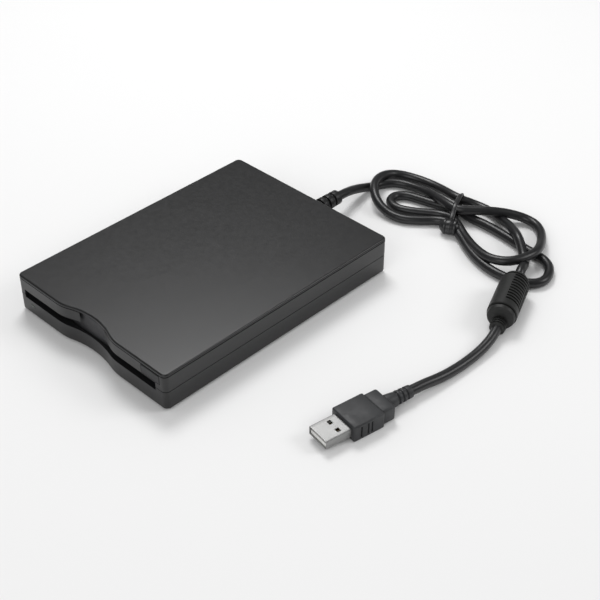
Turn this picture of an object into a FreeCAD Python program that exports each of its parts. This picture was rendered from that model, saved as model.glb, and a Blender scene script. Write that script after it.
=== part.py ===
import FreeCAD, Part
import math
import os
import re
import Sketcher

# Slim external floppy disk drive with its USB cord. Millimetres, +Z up.
# The origin is on the table, at the middle of the drive's outline. The front face looks along -Y.

DIMENSIONS = {
    # Housing
    "shell_width": 104.0,
    "shell_depth": 142.0,
    "shell_height": 19.5,
    "foot_drop": 1.0,
    "wall": 1.6,
    "skin": 1.5,
    "seam_level": 10.6,
    "seam_gap": 0.3,
    "tongue_thick": 0.6,
    "tongue_rise": 1.0,
    "corner_radius": 2.6,
    "edge_round": 0.9,
    "groove_level": 18.8,
    "groove_width": 0.5,
    "groove_depth": 0.45,
    "upper_lip": 3.2,
    "lower_lip": 4.1,
    "foot_radius": 4.5,
    "foot_recess": 0.4,
    "foot_inset_side": 14.0,
    "foot_inset_end": 14.0,
    "case_screw_inset": 6.5,
    # Disk slot and finger scallop
    "disk_width": 90.0,
    "disk_length": 94.0,
    "disk_thick": 3.3,
    "slot_side_clear": 1.5,
    "slot_low": 9.2,
    "slot_high": 13.5,
    "scallop_width": 43.0,
    "scallop_depth": 4.2,
    "scallop_depth_low": 3.0,
    "mech_shift": -1.0,
    # Dust door
    "door_setback": 4.5,
    "door_thick": 1.2,
    "door_bottom": 7.8,
    "door_pin_radius": 0.6,
    "knuckle_radius": 0.95,
    "fit_clear": 0.05,
    "run_clear": 0.3,
    # Eject button
    "button_width": 11.8,
    "button_right": 48.4,
    "button_low": 14.1,
    "button_high": 18.6,
    "button_thick": 3.2,
    "button_proud": 0.2,
    "arm_thick": 1.4,
    # Mechanism
    "chassis_lift": 3.0,
    "sheet": 0.6,
    "wall_sheet": 0.8,
    "chassis_front": 21.0,
    "holder_front": 18.0,
    "holder_length": 83.0,
    "holder_level": 9.3,
    "holder_room": 4.3,
    "holder_drop": 1.9,
    "slide_travel": 4.5,
    "slide_front": 22.0,
    "slide_length": 76.0,
    "pin_radius": 1.0,
    "pin_setback": 29.0,
    "pin_spacing": 60.0,
    "spindle_setback": 55.5,
    "rotor_radius": 19.5,
    "shaft_radius": 1.5,
    "rod_radius": 1.5,
    "screw_radius": 1.3,
    "head_radius": 39.5,
    "carriage_setback": 117.0,
    "arm_lift": 9.9,
    "lever_length": 20.0,
    "lever_rest": -60.0,
    "board_thick": 0.8,
    "board_level": 7.3,
    "front_board_lift": 2.4,
    # Light and switches
    "light_shift": 41.4,
    "light_width": 3.0,
    "light_height": 1.2,
    "light_level": 6.4,
    "plunger_radius": 0.8,
    # Cord and plug
    "gland_x": 0.5,
    "gland_level": 10.75,
    "gland_neck": 3.4,
    "boot_length": 20.0,
    "cord_diameter": 4.8,
    "lead_diameter": 2.6,
    "bead_radius": 7.2,
    "bead_length": 33.0,
    "bead_bore_drop": 2.4,
    "plug_width": 12.0,
    "plug_height": 4.5,
    "plug_level": 4.3,
}

HOLDER_HALF = "(disk_width/2+0.4+sheet)"
SLIDE_HALF = "(%s+run_clear+sheet)" % HOLDER_HALF
CHASSIS_HALF = "(%s+run_clear+wall_sheet)" % SLIDE_HALF
CHASSIS_LEFT = "(mech_shift-%s)" % CHASSIS_HALF
CHASSIS_RIGHT = "(mech_shift+%s)" % CHASSIS_HALF
FRONT = "(-shell_depth/2)"
BACK = "(shell_depth/2)"
SIDE = "(shell_width/2)"
INNER_SIDE = "(shell_width/2-wall)"
INNER_BACK = "(shell_depth/2-wall)"
TOP = "(foot_drop+shell_height)"
INNER_FLOOR = "(foot_drop+skin)"
INNER_TOP = "(foot_drop+shell_height-skin)"
UPPER_BOTTOM = "(seam_level+seam_gap)"
SLOT_LEFT = "(mech_shift-disk_width/2-slot_side_clear)"
SLOT_RIGHT = "(mech_shift+disk_width/2+slot_side_clear)"
BEYOND = 1.0
SKIM = 0.1

doc = FreeCAD.newDocument("floppy_drive")
sheet = doc.addObject("Spreadsheet::Sheet", "Dimensions")
for row, (alias, number) in enumerate(DIMENSIONS.items(), start=1):
    sheet.set("A%d" % row, alias)
    sheet.set("B%d" % row, str(number))
    sheet.setAlias("B%d" % row, alias)
doc.recompute()
nodes = {}


def size(name):
    """A driving dimension, read from the sheet."""
    return float(sheet.get(name))


def expression(text):
    """The text with each dimension's name made a reference to the sheet."""
    return re.sub(r"[a-z_]+", lambda m: "Dimensions." + m[0] if m[0] in DIMENSIONS else m[0], text)


def bind(target, path, value):
    """Set a property to a number, or tie it to the sheet with an expression."""
    if isinstance(value, str):
        target.setExpression(path, expression(value))
    else:
        target.setExpression(path, str(value))


def place(target, at):
    """Tie a placement's base point to three expressions."""
    for axis, value in zip("xyz", at):
        bind(target, ".Placement.Base." + axis, value)
    return target


def keep(name, target):
    """Make an object a sub-part, with the label that names its file."""
    target.Label = name
    nodes[name] = target
    return target


# ---- Part primitives and booleans ---------------------------------------------------------------


def block(at, extent):
    """A box from its low corner and its three lengths."""
    target = doc.addObject("Part::Box", "block")
    for prop, value in zip(("Length", "Width", "Height"), extent):
        bind(target, prop, value)
    return place(target, at)


TURN_TO_AXIS = {
    "x": FreeCAD.Rotation(FreeCAD.Vector(0, 1, 0), 90),
    "y": FreeCAD.Rotation(FreeCAD.Vector(1, 0, 0), -90),
    "z": FreeCAD.Rotation(),
}


def rod(at, radius, length, axis="z"):
    """A cylinder that starts at a point and runs along +X, +Y or +Z."""
    target = doc.addObject("Part::Cylinder", "rod")
    bind(target, "Radius", radius)
    bind(target, "Height", length)
    target.Placement = FreeCAD.Placement(FreeCAD.Vector(), TURN_TO_AXIS[axis])
    return place(target, at)


def taper(at, radius_near, radius_far, length, axis="z"):
    """A cone frustum that starts at a point and runs along +X, +Y or +Z."""
    target = doc.addObject("Part::Cone", "taper")
    bind(target, "Radius1", radius_near)
    bind(target, "Radius2", radius_far)
    bind(target, "Height", length)
    target.Placement = FreeCAD.Placement(FreeCAD.Vector(), TURN_TO_AXIS[axis])
    return place(target, at)


def join(*pieces):
    """One solid made of several pieces."""
    target = doc.addObject("Part::MultiFuse", "joined")
    target.Shapes = list(pieces)
    target.Refine = True
    return target


def group(*pieces):
    """Several separate solids in one sub-part."""
    target = doc.addObject("Part::Compound", "group")
    target.Links = list(pieces)
    return target


def cut(base, *tools):
    """A piece with tools taken out of it."""
    target = doc.addObject("Part::Cut", "cut")
    target.Base = base
    target.Tool = tools[0] if len(tools) == 1 else join(*tools)
    return target


def sleeve(at, outer, inner, length, axis="z"):
    """A tube such as a coil spring's envelope, a bush or a ring."""
    return cut(rod(at, outer, length, axis), rod(at, inner, length, axis))


def shaped(name, shape):
    """A sub-part or tool whose shape is worked out from sizes read from the sheet."""
    target = doc.addObject("Part::Feature", name)
    target.Shape = shape
    return target


# ---- Bodies with sketches -----------------------------------------------------------------------


def origin_plane(body, role):
    """The body's own origin plane of that role."""
    return [f for f in body.Origin.OriginFeatures if f.Role == role][0]


def rectangle(left, near, right, far):
    """A rectangle's corners, as pairs of expressions."""
    return [(left, near), (right, near), (right, far), (left, far)]


def draw_polygon(sketch, corners):
    """Closed straight-sided outline whose every corner is tied to the sheet."""
    first = sketch.GeometryCount
    count = len(corners)
    rough = [
        FreeCAD.Vector(math.cos(2 * math.pi * i / count), math.sin(2 * math.pi * i / count), 0)
        for i in range(count)
    ]
    for i in range(count):
        sketch.addGeometry(Part.LineSegment(rough[i], rough[(i + 1) % count]), False)
    for i in range(count):
        sketch.addConstraint(
            Sketcher.Constraint("Coincident", first + i, 2, first + (i + 1) % count, 1)
        )
    for i, corner in enumerate(corners):
        for kind, value, now in zip(("DistanceX", "DistanceY"), corner, (rough[i].x, rough[i].y)):
            index = sketch.addConstraint(Sketcher.Constraint(kind, -1, 1, first + i, 1, now))
            bind(sketch, "Constraints[%d]" % index, value)


def draw_circle(sketch, centre_x, centre_y, radius):
    """Circle whose centre and radius are tied to the sheet."""
    geo = sketch.addGeometry(
        Part.Circle(FreeCAD.Vector(1, 1, 0), FreeCAD.Vector(0, 0, 1), 1), False
    )
    for kind, value in (("DistanceX", centre_x), ("DistanceY", centre_y)):
        index = sketch.addConstraint(Sketcher.Constraint(kind, -1, 1, geo, 3, 1.0))
        bind(sketch, "Constraints[%d]" % index, value)
    index = sketch.addConstraint(Sketcher.Constraint("Radius", geo, 1.0))
    bind(sketch, "Constraints[%d]" % index, radius)


def draw(body, role, offset, outlines):
    """A sketch on an origin plane, moved along the plane's normal."""
    sketch = body.newObject("Sketcher::SketchObject", "outline")
    sketch.AttachmentSupport = [(origin_plane(body, role), "")]
    sketch.MapMode = "FlatFace"
    bind(sketch, ".AttachmentOffset.Base.z", offset)
    for outline in outlines:
        if isinstance(outline, list):
            draw_polygon(sketch, outline)
        else:
            draw_circle(sketch, *outline)
    return sketch


def feature(body, kind, sketch, length):
    """A pad or pocket of a sketch."""
    target = body.newObject("PartDesign::" + kind, kind.lower())
    target.Profile = sketch
    bind(target, "Length", length)
    doc.recompute()
    return target


def pad(body, bottom, height, *outlines):
    """Add material upwards from a level."""
    return feature(body, "Pad", draw(body, "XY_Plane", bottom, outlines), height)


def pocket(body, top, depth, *outlines):
    """Cut downwards from a level."""
    return feature(body, "Pocket", draw(body, "XY_Plane", top, outlines), depth)


def pocket_back(body, front, depth, *outlines):
    """Cut towards +Y from a place on Y; outlines are in X and Z."""
    return feature(body, "Pocket", draw(body, "XZ_Plane", "-(%s)" % front, outlines), depth)


def pocket_left(body, right, depth, *outlines):
    """Cut towards -X from a place on X; outlines are in Y and Z."""
    return feature(body, "Pocket", draw(body, "YZ_Plane", right, outlines), depth)


def round_edges(body, radius, wanted):
    """Fillet the edges of the body's tip that a test picks out."""
    base = body.Tip
    picked = [
        "Edge%d" % (i + 1) for i, edge in enumerate(base.Shape.Edges) if wanted(edge)
    ]
    target = body.newObject("PartDesign::Fillet", "rounding")
    target.Base = (base, picked)
    bind(target, "Radius", radius)
    doc.recompute()
    return target


def new_body(name):
    """An empty body."""
    return doc.addObject("PartDesign::Body", name)


def near(a, b):
    """True for two lengths that are the same within a hundredth."""
    return abs(a - b) < 0.01


def upright_at(half_x, low_y, high_y):
    """Test for upright edges at the corners of a rectangle centred on X."""

    def test(edge):
        box = edge.BoundBox
        upright = box.ZLength > 1 and box.XLength < 0.01 and box.YLength < 0.01
        at_side = near(abs(box.Center.x), half_x)
        return upright and at_side and (near(box.Center.y, low_y) or near(box.Center.y, high_y))

    return test


def round_outline(target, level):
    """Round the outer edges of a shell's face at one level, scallop and corners included."""
    doc.recompute()
    shape = target.Shape
    face = max(
        (f for f in shape.Faces if near(f.BoundBox.ZMin, level) and near(f.BoundBox.ZMax, level)),
        key=lambda f: f.BoundBox.DiagonalLength,
    )
    outer = face.OuterWire.Edges
    picked = [i for i, e in enumerate(shape.Edges, start=1) if any(e.isSame(o) for o in outer)]
    rounding = doc.addObject("Part::Fillet", "rounding")
    rounding.Base = target
    rounding.Edges = [(i, size("edge_round"), size("edge_round")) for i in picked]
    doc.recompute()
    return rounding


def groove_tool(cover, half_x, half_y):
    """Ring that cuts the shadow line round the cover, just under its top edge."""
    level = size("groove_level")
    height = size("groove_width")
    outline = cover.Shape.slice(FreeCAD.Vector(0, 0, 1), level + height + 0.1)[0]
    core = Part.Face(outline.makeOffset2D(-size("groove_depth")))
    core.translate(FreeCAD.Vector(0, 0, -height - 0.6))
    slab = Part.makeBox(
        2 * half_x + 4, 2 * half_y + 4, height, FreeCAD.Vector(-half_x - 2, -half_y - 2, level)
    )
    return shaped("groove", slab.cut(core.extrude(FreeCAD.Vector(0, 0, height + 1))))


# ---- Housing ------------------------------------------------------------------------------------


def scallop_tool(depth, low, high):
    """Finger scallop in plan: a hollow arc with a rounded entry each side, cut through in Z."""
    half = size("scallop_width") / 2
    turn = 2 * math.atan(depth / half)
    total = half / math.sin(turn)
    entry = 0.35 * total
    hollow = total - entry
    centre_x = size("mech_shift")
    front = -size("shell_depth") / 2

    def point(x, y):
        return FreeCAD.Vector(centre_x + x, front + y, low)

    def entry_point(angle):
        return half - entry * math.sin(angle), entry * (1 - math.cos(angle))

    def hollow_point(angle):
        return hollow * math.sin(angle), depth - hollow * (1 - math.cos(angle))

    join_x, join_y = entry_point(turn)
    mid_x, mid_y = entry_point(turn / 2)
    ahead = -BEYOND
    edges = [
        Part.Arc(point(-half, 0), point(-mid_x, mid_y), point(-join_x, join_y)),
        Part.Arc(point(-join_x, join_y), point(*hollow_point(0)), point(join_x, join_y)),
        Part.Arc(point(join_x, join_y), point(mid_x, mid_y), point(half, 0)),
        Part.LineSegment(point(half, 0), point(half, ahead)),
        Part.LineSegment(point(half, ahead), point(-half, ahead)),
        Part.LineSegment(point(-half, ahead), point(-half, 0)),
    ]
    outline = Part.Wire([edge.toShape() for edge in edges])
    prism = Part.Face(outline).extrude(FreeCAD.Vector(0, 0, high - low))
    return shaped("scallop", prism)


def case_screw_places():
    """The two rear case screws."""
    back = "(%s-case_screw_inset)" % BACK
    return [("(%s-case_screw_inset)" % SIDE, back), ("(case_screw_inset-%s)" % SIDE, back)]


def foot_places():
    """The four feet."""
    x = "(%s-foot_inset_side)" % SIDE
    y = "(%s-foot_inset_end)" % BACK
    return [(x, y), ("-" + x, y), (x, "-" + y), ("-" + x, "-" + y)]


def tongue_outlines(clear):
    """Strips of the tongue that lines up the shells: left, right and back."""
    inner = "(%s-%s)" % (INNER_SIDE, clear)
    outer = "(%s+tongue_thick+%s)" % (INNER_SIDE, clear)
    end = "(%s-8+%s)" % (BACK, clear)
    far_in = "(%s-%s)" % (INNER_BACK, clear)
    far_out = "(%s+tongue_thick+%s)" % (INNER_BACK, clear)
    across = "(%s-8+%s)" % (SIDE, clear)
    return [
        rectangle("-" + outer, "-" + end, "-" + inner, end),
        rectangle(inner, "-" + end, outer, end),
        rectangle("-" + across, far_in, across, far_out),
    ]


BRIDGE_POSTS = [("20.5", "112"), ("37", "112"), ("30", "128.5")]
FRONT_POSTS = [("(mech_shift-30)", "14.5"), ("(mech_shift+1)", "14.5"), ("(mech_shift+28)", "14.5")]
FRONT_BOARD_LEVEL = "(%s+front_board_lift)" % INNER_FLOOR


def behind(y):
    """A place on Y, so far behind the front face."""
    return "(%s+%s)" % (FRONT, y)


def chassis_screw_places():
    """Screws that hold the chassis to the lower shell."""
    left = "(%s+3.5)" % CHASSIS_LEFT
    right = "(%s-3.5)" % CHASSIS_RIGHT
    return [
        (left, behind("(chassis_front+6)")),
        (right, behind("(chassis_front+6)")),
        (left, behind("121.5")),
        (right, behind("101")),
    ]


def make_lower_shell():
    """Base tray with front lip, screw bosses, chassis pads and board posts."""
    body = new_body("lower_body")
    outside = rectangle("-" + SIDE, FRONT, SIDE, BACK)
    pad(body, "foot_drop", "seam_level-foot_drop", outside)
    half_x = size("shell_width") / 2
    half_y = size("shell_depth") / 2
    round_edges(body, "corner_radius", upright_at(half_x, -half_y, half_y))
    inside = rectangle("-" + INNER_SIDE, "(%s+lower_lip)" % FRONT, INNER_SIDE, INNER_BACK)
    pocket(body, "seam_level", "seam_level-%s" % INNER_FLOOR, inside)
    inner_x = half_x - size("wall")
    inner_y = half_y - size("wall")
    round_edges(
        body, "corner_radius-wall", upright_at(inner_x, size("lower_lip") - half_y, inner_y)
    )
    pad(body, "seam_level-%s" % SKIM, "tongue_rise+%s" % SKIM, *tongue_outlines("0"))
    slot_front = "(%s-%s)" % (FRONT, BEYOND)
    slot = rectangle(SLOT_LEFT, slot_front, SLOT_RIGHT, "(%s+lower_lip+%s)" % (FRONT, SKIM))
    pocket(body, "seam_level+%s" % BEYOND, "seam_level+%s-slot_low" % BEYOND, slot)
    light = rectangle(
        "(mech_shift-light_shift-light_width/2-fit_clear)",
        "(light_level-light_height/2-fit_clear)",
        "(mech_shift-light_shift+light_width/2+fit_clear)",
        "(light_level+light_height/2+fit_clear)",
    )
    pocket_back(body, slot_front, "lower_lip+%s" % (BEYOND + SKIM), light)
    boss_top = "(seam_level-2)"
    pad(body, "foot_drop+%s" % SKIM, "%s-foot_drop-%s" % (boss_top, SKIM),
        *[(x, y, "3") for x, y in case_screw_places()])
    pad(body, "foot_drop+%s" % SKIM, "skin+chassis_lift-%s" % SKIM,
        *[(x, y, "2.6") for x, y in chassis_screw_places()])
    pad(body, "foot_drop+%s" % SKIM, "board_level-foot_drop-%s" % SKIM,
        *[(x, behind(y), "2.2") for x, y in BRIDGE_POSTS])
    pad(body, "foot_drop+%s" % SKIM, "skin+front_board_lift-%s" % SKIM,
        *[(x, behind(y), "2") for x, y in FRONT_POSTS])
    pocket(body, boss_top + "+%s" % BEYOND, "%s-foot_drop+%s" % (boss_top, 2 * BEYOND),
           *[(x, y, "1.2") for x, y in case_screw_places()])
    pocket(body, "foot_drop+2", "2+%s" % BEYOND, *[(x, y, "2.5") for x, y in case_screw_places()])
    pilot_top = "(%s+chassis_lift+%s)" % (INNER_FLOOR, SKIM)
    pocket(body, pilot_top, "chassis_lift+0.9", *[(x, y, "0.85") for x, y in chassis_screw_places()])
    pocket(body, "board_level+%s" % SKIM, "3",
           *[(x, behind(y), "0.85") for x, y in BRIDGE_POSTS])
    pocket(body, "foot_drop+foot_recess", "foot_recess+%s" % BEYOND,
           *[(x, y, "foot_radius+0.1") for x, y in foot_places()])
    pocket_back(body, "(%s-%s)" % (INNER_BACK, BEYOND), "wall+%s" % (2 * BEYOND),
                ("gland_x", "gland_level", "gland_neck+0.1"))
    scallop = scallop_tool(size("scallop_depth_low"), 0.0, size("seam_level") + BEYOND)
    keep("lower_shell", round_outline(cut(body, scallop), size("foot_drop")))


def make_upper_shell():
    """Top cover with front lip, slot edge, button window, door ears, screw towers and hooks."""
    body = new_body("upper_body")
    outside = rectangle("-" + SIDE, FRONT, SIDE, BACK)
    pad(body, UPPER_BOTTOM, "%s-%s" % (TOP, UPPER_BOTTOM), outside)
    half_x = size("shell_width") / 2
    half_y = size("shell_depth") / 2
    top = size("foot_drop") + size("shell_height")
    round_edges(body, "corner_radius", upright_at(half_x, -half_y, half_y))
    inside = rectangle("-" + INNER_SIDE, "(%s+upper_lip)" % FRONT, INNER_SIDE, INNER_BACK)
    pocket(body, INNER_TOP, "%s-%s+%s" % (INNER_TOP, UPPER_BOTTOM, BEYOND), inside)
    inner_x = half_x - size("wall")
    inner_y = half_y - size("wall")
    round_edges(
        body, "corner_radius-wall", upright_at(inner_x, size("upper_lip") - half_y, inner_y)
    )
    rebate_top = "(seam_level+tongue_rise+%s)" % SKIM
    pocket(body, rebate_top, "%s-%s+%s" % (rebate_top, UPPER_BOTTOM, BEYOND),
           *tongue_outlines(str(SKIM)))
    lip_back = "(%s+upper_lip+%s)" % (FRONT, SKIM)
    slot_front = "(%s-%s)" % (FRONT, BEYOND)
    slot = rectangle(SLOT_LEFT, slot_front, SLOT_RIGHT, lip_back)
    pocket(body, "slot_high", "slot_high-%s+%s" % (UPPER_BOTTOM, BEYOND), slot)
    window = rectangle(
        "(button_right-button_width-0.2)", slot_front, "(button_right+0.2)", lip_back
    )
    pocket(body, "button_high+0.2", "button_high-button_low+0.4", window)
    ear_low = "(%s-1)" % DOOR_PIN_LEVEL
    ear_near = "(%s-1.1)" % DOOR_PIN_PLACE
    ear_far = "(%s+1.1)" % DOOR_PIN_PLACE
    pad(body, ear_low, "%s-%s+%s" % (INNER_TOP, ear_low, SKIM),
        rectangle("(-%s-%s)" % (INNER_SIDE, SKIM), ear_near, "(%s-run_clear)" % DOOR_LEFT, ear_far),
        rectangle("(%s+run_clear)" % DOOR_RIGHT, ear_near, "(%s+2.6)" % DOOR_RIGHT, ear_far))
    pocket_left(body, "(%s+4)" % DOOR_RIGHT, "%s-%s+8" % (DOOR_RIGHT, DOOR_LEFT),
                (DOOR_PIN_PLACE, DOOR_PIN_LEVEL, "door_pin_radius+0.02"))
    tower_low = "(seam_level-1.7)"
    pad(body, tower_low, "%s-%s+%s" % (INNER_TOP, tower_low, SKIM),
        *[(x, y, "2.8") for x, y in case_screw_places()])
    pocket(body, tower_low + "+7", "7+%s" % SKIM, *[(x, y, "0.95") for x, y in case_screw_places()])
    hook_in = "(%s-1.2)" % INNER_SIDE
    hook_out = "(%s-0.2)" % INNER_SIDE
    hook_spans = [("(%s+27)" % FRONT, "(%s+35)" % FRONT), ("(%s-27)" % BACK, "(%s-19)" % BACK)]
    roots = []
    blades = []
    for low, high in hook_spans:
        for outline, reach in ((roots, "(%s+%s)" % (INNER_SIDE, SKIM)), (blades, hook_out)):
            outline.append(rectangle(hook_in, low, reach, high))
            outline.append(rectangle("-" + reach, low, "-" + hook_in, high))
    pad(body, "seam_level+1.2", "2.8", *roots)
    pad(body, "seam_level-2.2", "3.5", *blades)
    pocket_back(body, "(%s-%s)" % (INNER_BACK, BEYOND), "wall+%s" % (2 * BEYOND),
                ("gland_x", "gland_level", "gland_neck+0.1"))
    scallop = scallop_tool(size("scallop_depth"), size("seam_level"), top + BEYOND)
    cover = round_outline(cut(body, scallop), top)
    keep("upper_shell", cut(cover, groove_tool(cover, half_x, half_y)))


def make_feet_and_case_screws():
    """Rubber feet in their recesses, and the screws that close the case from below."""
    feet = [rod((x, y, 0), "foot_radius", "foot_drop+foot_recess") for x, y in foot_places()]
    keep("rubber_feet", group(*feet))
    screws = []
    for x, y in case_screw_places():
        head = rod((x, y, "foot_drop+0.5"), 2.2, 1.5)
        slot = rod((x, y, "foot_drop"), 0.7, 1.2)
        shank = rod((x, y, "foot_drop+1.9"), 0.9, "seam_level-foot_drop+2.5")
        screws.append(cut(join(head, shank), slot))
    keep("case_screws", group(*screws))


# ---- Dust door ----------------------------------------------------------------------------------

DOOR_PIN_PLACE = "(%s+door_setback+door_thick-0.25)" % FRONT
DOOR_PIN_LEVEL = "(%s-1.1)" % INNER_TOP
DOOR_LEFT = "(%s-0.4)" % SLOT_LEFT
DOOR_RIGHT = "(%s+0.4)" % SLOT_RIGHT
DOOR_SPAN = "(%s-%s)" % (DOOR_RIGHT, DOOR_LEFT)
DOOR_SPRING_LEFT = "(%s+3)" % DOOR_LEFT


def make_dust_door():
    """Flap across the slot, hung from a pin just under the top cover."""
    plate = block(
        (DOOR_LEFT, "%s+door_setback" % FRONT, "door_bottom"),
        (DOOR_SPAN, "door_thick", "%s-door_bottom" % DOOR_PIN_LEVEL),
    )
    knuckle = rod((DOOR_LEFT, DOOR_PIN_PLACE, DOOR_PIN_LEVEL), "knuckle_radius", DOOR_SPAN, "x")
    stiffener = block(
        (DOOR_LEFT, "%s+door_setback+door_thick" % FRONT, "door_bottom+0.6"),
        (DOOR_SPAN, 0.5, 0.8),
    )
    bore = rod((DOOR_LEFT, DOOR_PIN_PLACE, DOOR_PIN_LEVEL),
               "door_pin_radius+fit_clear", DOOR_SPAN, "x")
    notch = block(
        (DOOR_SPRING_LEFT, "%s-2" % DOOR_PIN_PLACE, "%s-1.8" % DOOR_PIN_LEVEL), (4.2, 4, 4)
    )
    keep("dust_door", cut(join(plate, knuckle, stiffener), bore, notch))
    pin = rod(("%s-2" % DOOR_LEFT, DOOR_PIN_PLACE, DOOR_PIN_LEVEL),
              "door_pin_radius", "%s+4.2" % DOOR_SPAN, "x")
    keep("door_pin", pin)
    spring = sleeve(("%s+0.2" % DOOR_SPRING_LEFT, DOOR_PIN_PLACE, DOOR_PIN_LEVEL),
                    "door_pin_radius+0.4", "door_pin_radius+0.1", 3.8, "x")
    leg = block(
        ("%s+3.6" % DOOR_SPRING_LEFT, "%s+0.3" % DOOR_PIN_PLACE, "%s-2.6" % DOOR_PIN_LEVEL),
        (0.4, 0.4, 2.2),
    )
    keep("door_spring", join(spring, leg))


# ---- Mechanism levels and lines -----------------------------------------------------------------

CHASSIS_FLOOR = "(%s+chassis_lift)" % INNER_FLOOR
CHASSIS_TOP = "(%s+sheet)" % CHASSIS_FLOOR
CHASSIS_NEAR = "(%s+chassis_front)" % FRONT
HOLDER_ROOF = "(holder_level+holder_room)"
HOLDER_NEAR = "(%s+holder_front)" % FRONT
SLIDE_LEVEL = "(%s+sheet+run_clear)" % HOLDER_ROOF
SLIDE_TOP = "(%s+sheet)" % SLIDE_LEVEL
SLIDE_NEAR = "(%s+slide_front)" % FRONT
WALL_TOP = SLIDE_TOP
PIN_LEVEL = "(holder_level+2.1)"
PIN_PLACES = ["(%s+pin_setback)" % FRONT, "(%s+pin_setback+pin_spacing)" % FRONT]
FINGER_NEAR = "(%s+24.4)" % FRONT
FINGER_LOW = "(%s+1.4)" % WALL_TOP
SPINDLE_PLACE = "(%s+spindle_setback)" % FRONT
LEVER_X = "(mech_shift-%s+5)" % HOLDER_HALF
LEVER_PLACE = "(%s+107)" % FRONT
LEVER_LEVEL = "(%s+0.4)" % SLIDE_LEVEL


def both_sides(inner, outer, near_end, far_end):
    """Two strips, mirrored about the mechanism's middle line."""
    return [
        rectangle("(mech_shift-%s)" % outer, near_end, "(mech_shift-%s)" % inner, far_end),
        rectangle("(mech_shift+%s)" % inner, near_end, "(mech_shift+%s)" % outer, far_end),
    ]


def make_chassis():
    """Sheet-metal frame: floor, two slotted side walls, spring fingers and board posts."""
    body = new_body("chassis_body")
    floor_far = "(%s+130.5)" % FRONT
    pad(body, CHASSIS_FLOOR, "sheet", rectangle(CHASSIS_LEFT, CHASSIS_NEAR, CHASSIS_RIGHT, floor_far))
    clear_right = rectangle("(mech_shift+18)", "(%s+106)" % FRONT, "(%s+1)" % CHASSIS_RIGHT,
                            "(%s+1)" % floor_far)
    pocket(body, CHASSIS_TOP + "+%s" % SKIM, "sheet+%s" % (2 * SKIM), clear_right,
           ("mech_shift", SPINDLE_PLACE, "rotor_radius+2.5"),
           *[(x, y, "1.1") for x, y in chassis_screw_places()])
    half = CHASSIS_HALF
    inner = "(%s-wall_sheet)" % CHASSIS_HALF
    wall_near = "(%s+2.5)" % CHASSIS_NEAR
    pad(body, CHASSIS_FLOOR, "%s-%s" % (WALL_TOP, CHASSIS_FLOOR),
        *both_sides(inner, half, wall_near, "(%s+105)" % FRONT))
    finger_far = "(%s+1.2)" % FINGER_NEAR
    pad(body, WALL_TOP + "-%s" % SKIM, "%s-%s+0.8+%s" % (FINGER_LOW, WALL_TOP, SKIM),
        *both_sides(inner, half, FINGER_NEAR, finger_far))
    pad(body, FINGER_LOW, "0.8", *both_sides("(%s-5)" % CHASSIS_HALF, half, FINGER_NEAR, finger_far))
    slots = []
    for place_y in PIN_PLACES:
        reach = "(pin_radius+run_clear)"
        slots.append(rectangle(
            "(%s-%s)" % (place_y, reach), "(%s-holder_drop-%s)" % (PIN_LEVEL, reach),
            "(%s+%s)" % (place_y, reach), "(%s+%s)" % (PIN_LEVEL, reach),
        ))
    pocket_left(body, "(%s+1)" % CHASSIS_RIGHT, "2*%s+2" % CHASSIS_HALF, *slots)
    posts = [("(mech_shift-37)", "(%s+114)" % FRONT), ("(mech_shift-26)", "(%s+114)" % FRONT),
             ("(mech_shift-32)", "(%s+127)" % FRONT)]
    pad(body, CHASSIS_TOP + "-%s" % SKIM, "board_level-%s+%s" % (CHASSIS_TOP, SKIM),
        *[(x, y, "2") for x, y in posts])
    keep("chassis", body)


def make_disk_holder():
    """Carrier that takes the disk and drops it onto the spindle, with its four side pins."""
    body = new_body("holder_body")
    far = "(%s+holder_length)" % HOLDER_NEAR
    left = "(mech_shift-%s)" % HOLDER_HALF
    right = "(mech_shift+%s)" % HOLDER_HALF
    pad(body, HOLDER_ROOF, "sheet", rectangle(left, HOLDER_NEAR, right, far))
    pocket(body, HOLDER_ROOF + "+sheet+%s" % SKIM, "sheet+%s" % (2 * SKIM),
           rectangle("(mech_shift-36)", "(%s+74)" % FRONT, "(mech_shift+10.5)", "(%s+1)" % far))
    pad(body, "holder_level-sheet", "holder_room+sheet+%s" % SKIM,
        *both_sides("(%s-sheet)" % HOLDER_HALF, HOLDER_HALF, HOLDER_NEAR, far))
    pad(body, "holder_level-sheet", "sheet",
        *both_sides("(%s-6.6)" % HOLDER_HALF, HOLDER_HALF, HOLDER_NEAR, far))
    keep("disk_holder", body)
    pins = []
    for place_y in PIN_PLACES:
        reach = "(%s-%s)" % (CHASSIS_HALF, HOLDER_HALF)
        pins.append(rod((CHASSIS_LEFT, place_y, PIN_LEVEL), "pin_radius", reach, "x"))
        pins.append(rod((right, place_y, PIN_LEVEL), "pin_radius", reach, "x"))
    keep("holder_pins", group(*pins))
    leaves = [
        block(("mech_shift%s-3" % offset, "(%s+36)" % FRONT, HOLDER_ROOF + "+sheet"), (6, 24, 0.2))
        for offset in ("-25", "+25")
    ]
    keep("pressure_springs", group(*leaves))


def cam_slot(place_y):
    """Slanted slot that turns the slide's travel into the holder's drop."""
    reach = "(pin_radius+run_clear)"
    far_y = "(%s+slide_travel)" % place_y
    low_z = "(%s-holder_drop)" % PIN_LEVEL
    return [
        ("(%s-%s)" % (place_y, reach), "(%s-%s)" % (PIN_LEVEL, reach)),
        ("(%s-%s)" % (far_y, reach), "(%s-%s)" % (low_z, reach)),
        ("(%s+%s)" % (far_y, reach), "(%s-%s)" % (low_z, reach)),
        ("(%s+%s)" % (far_y, reach), "(%s+%s)" % (low_z, reach)),
        ("(%s+%s)" % (place_y, reach), "(%s+%s)" % (PIN_LEVEL, reach)),
        ("(%s-%s)" % (place_y, reach), "(%s+%s)" % (PIN_LEVEL, reach)),
    ]


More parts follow.
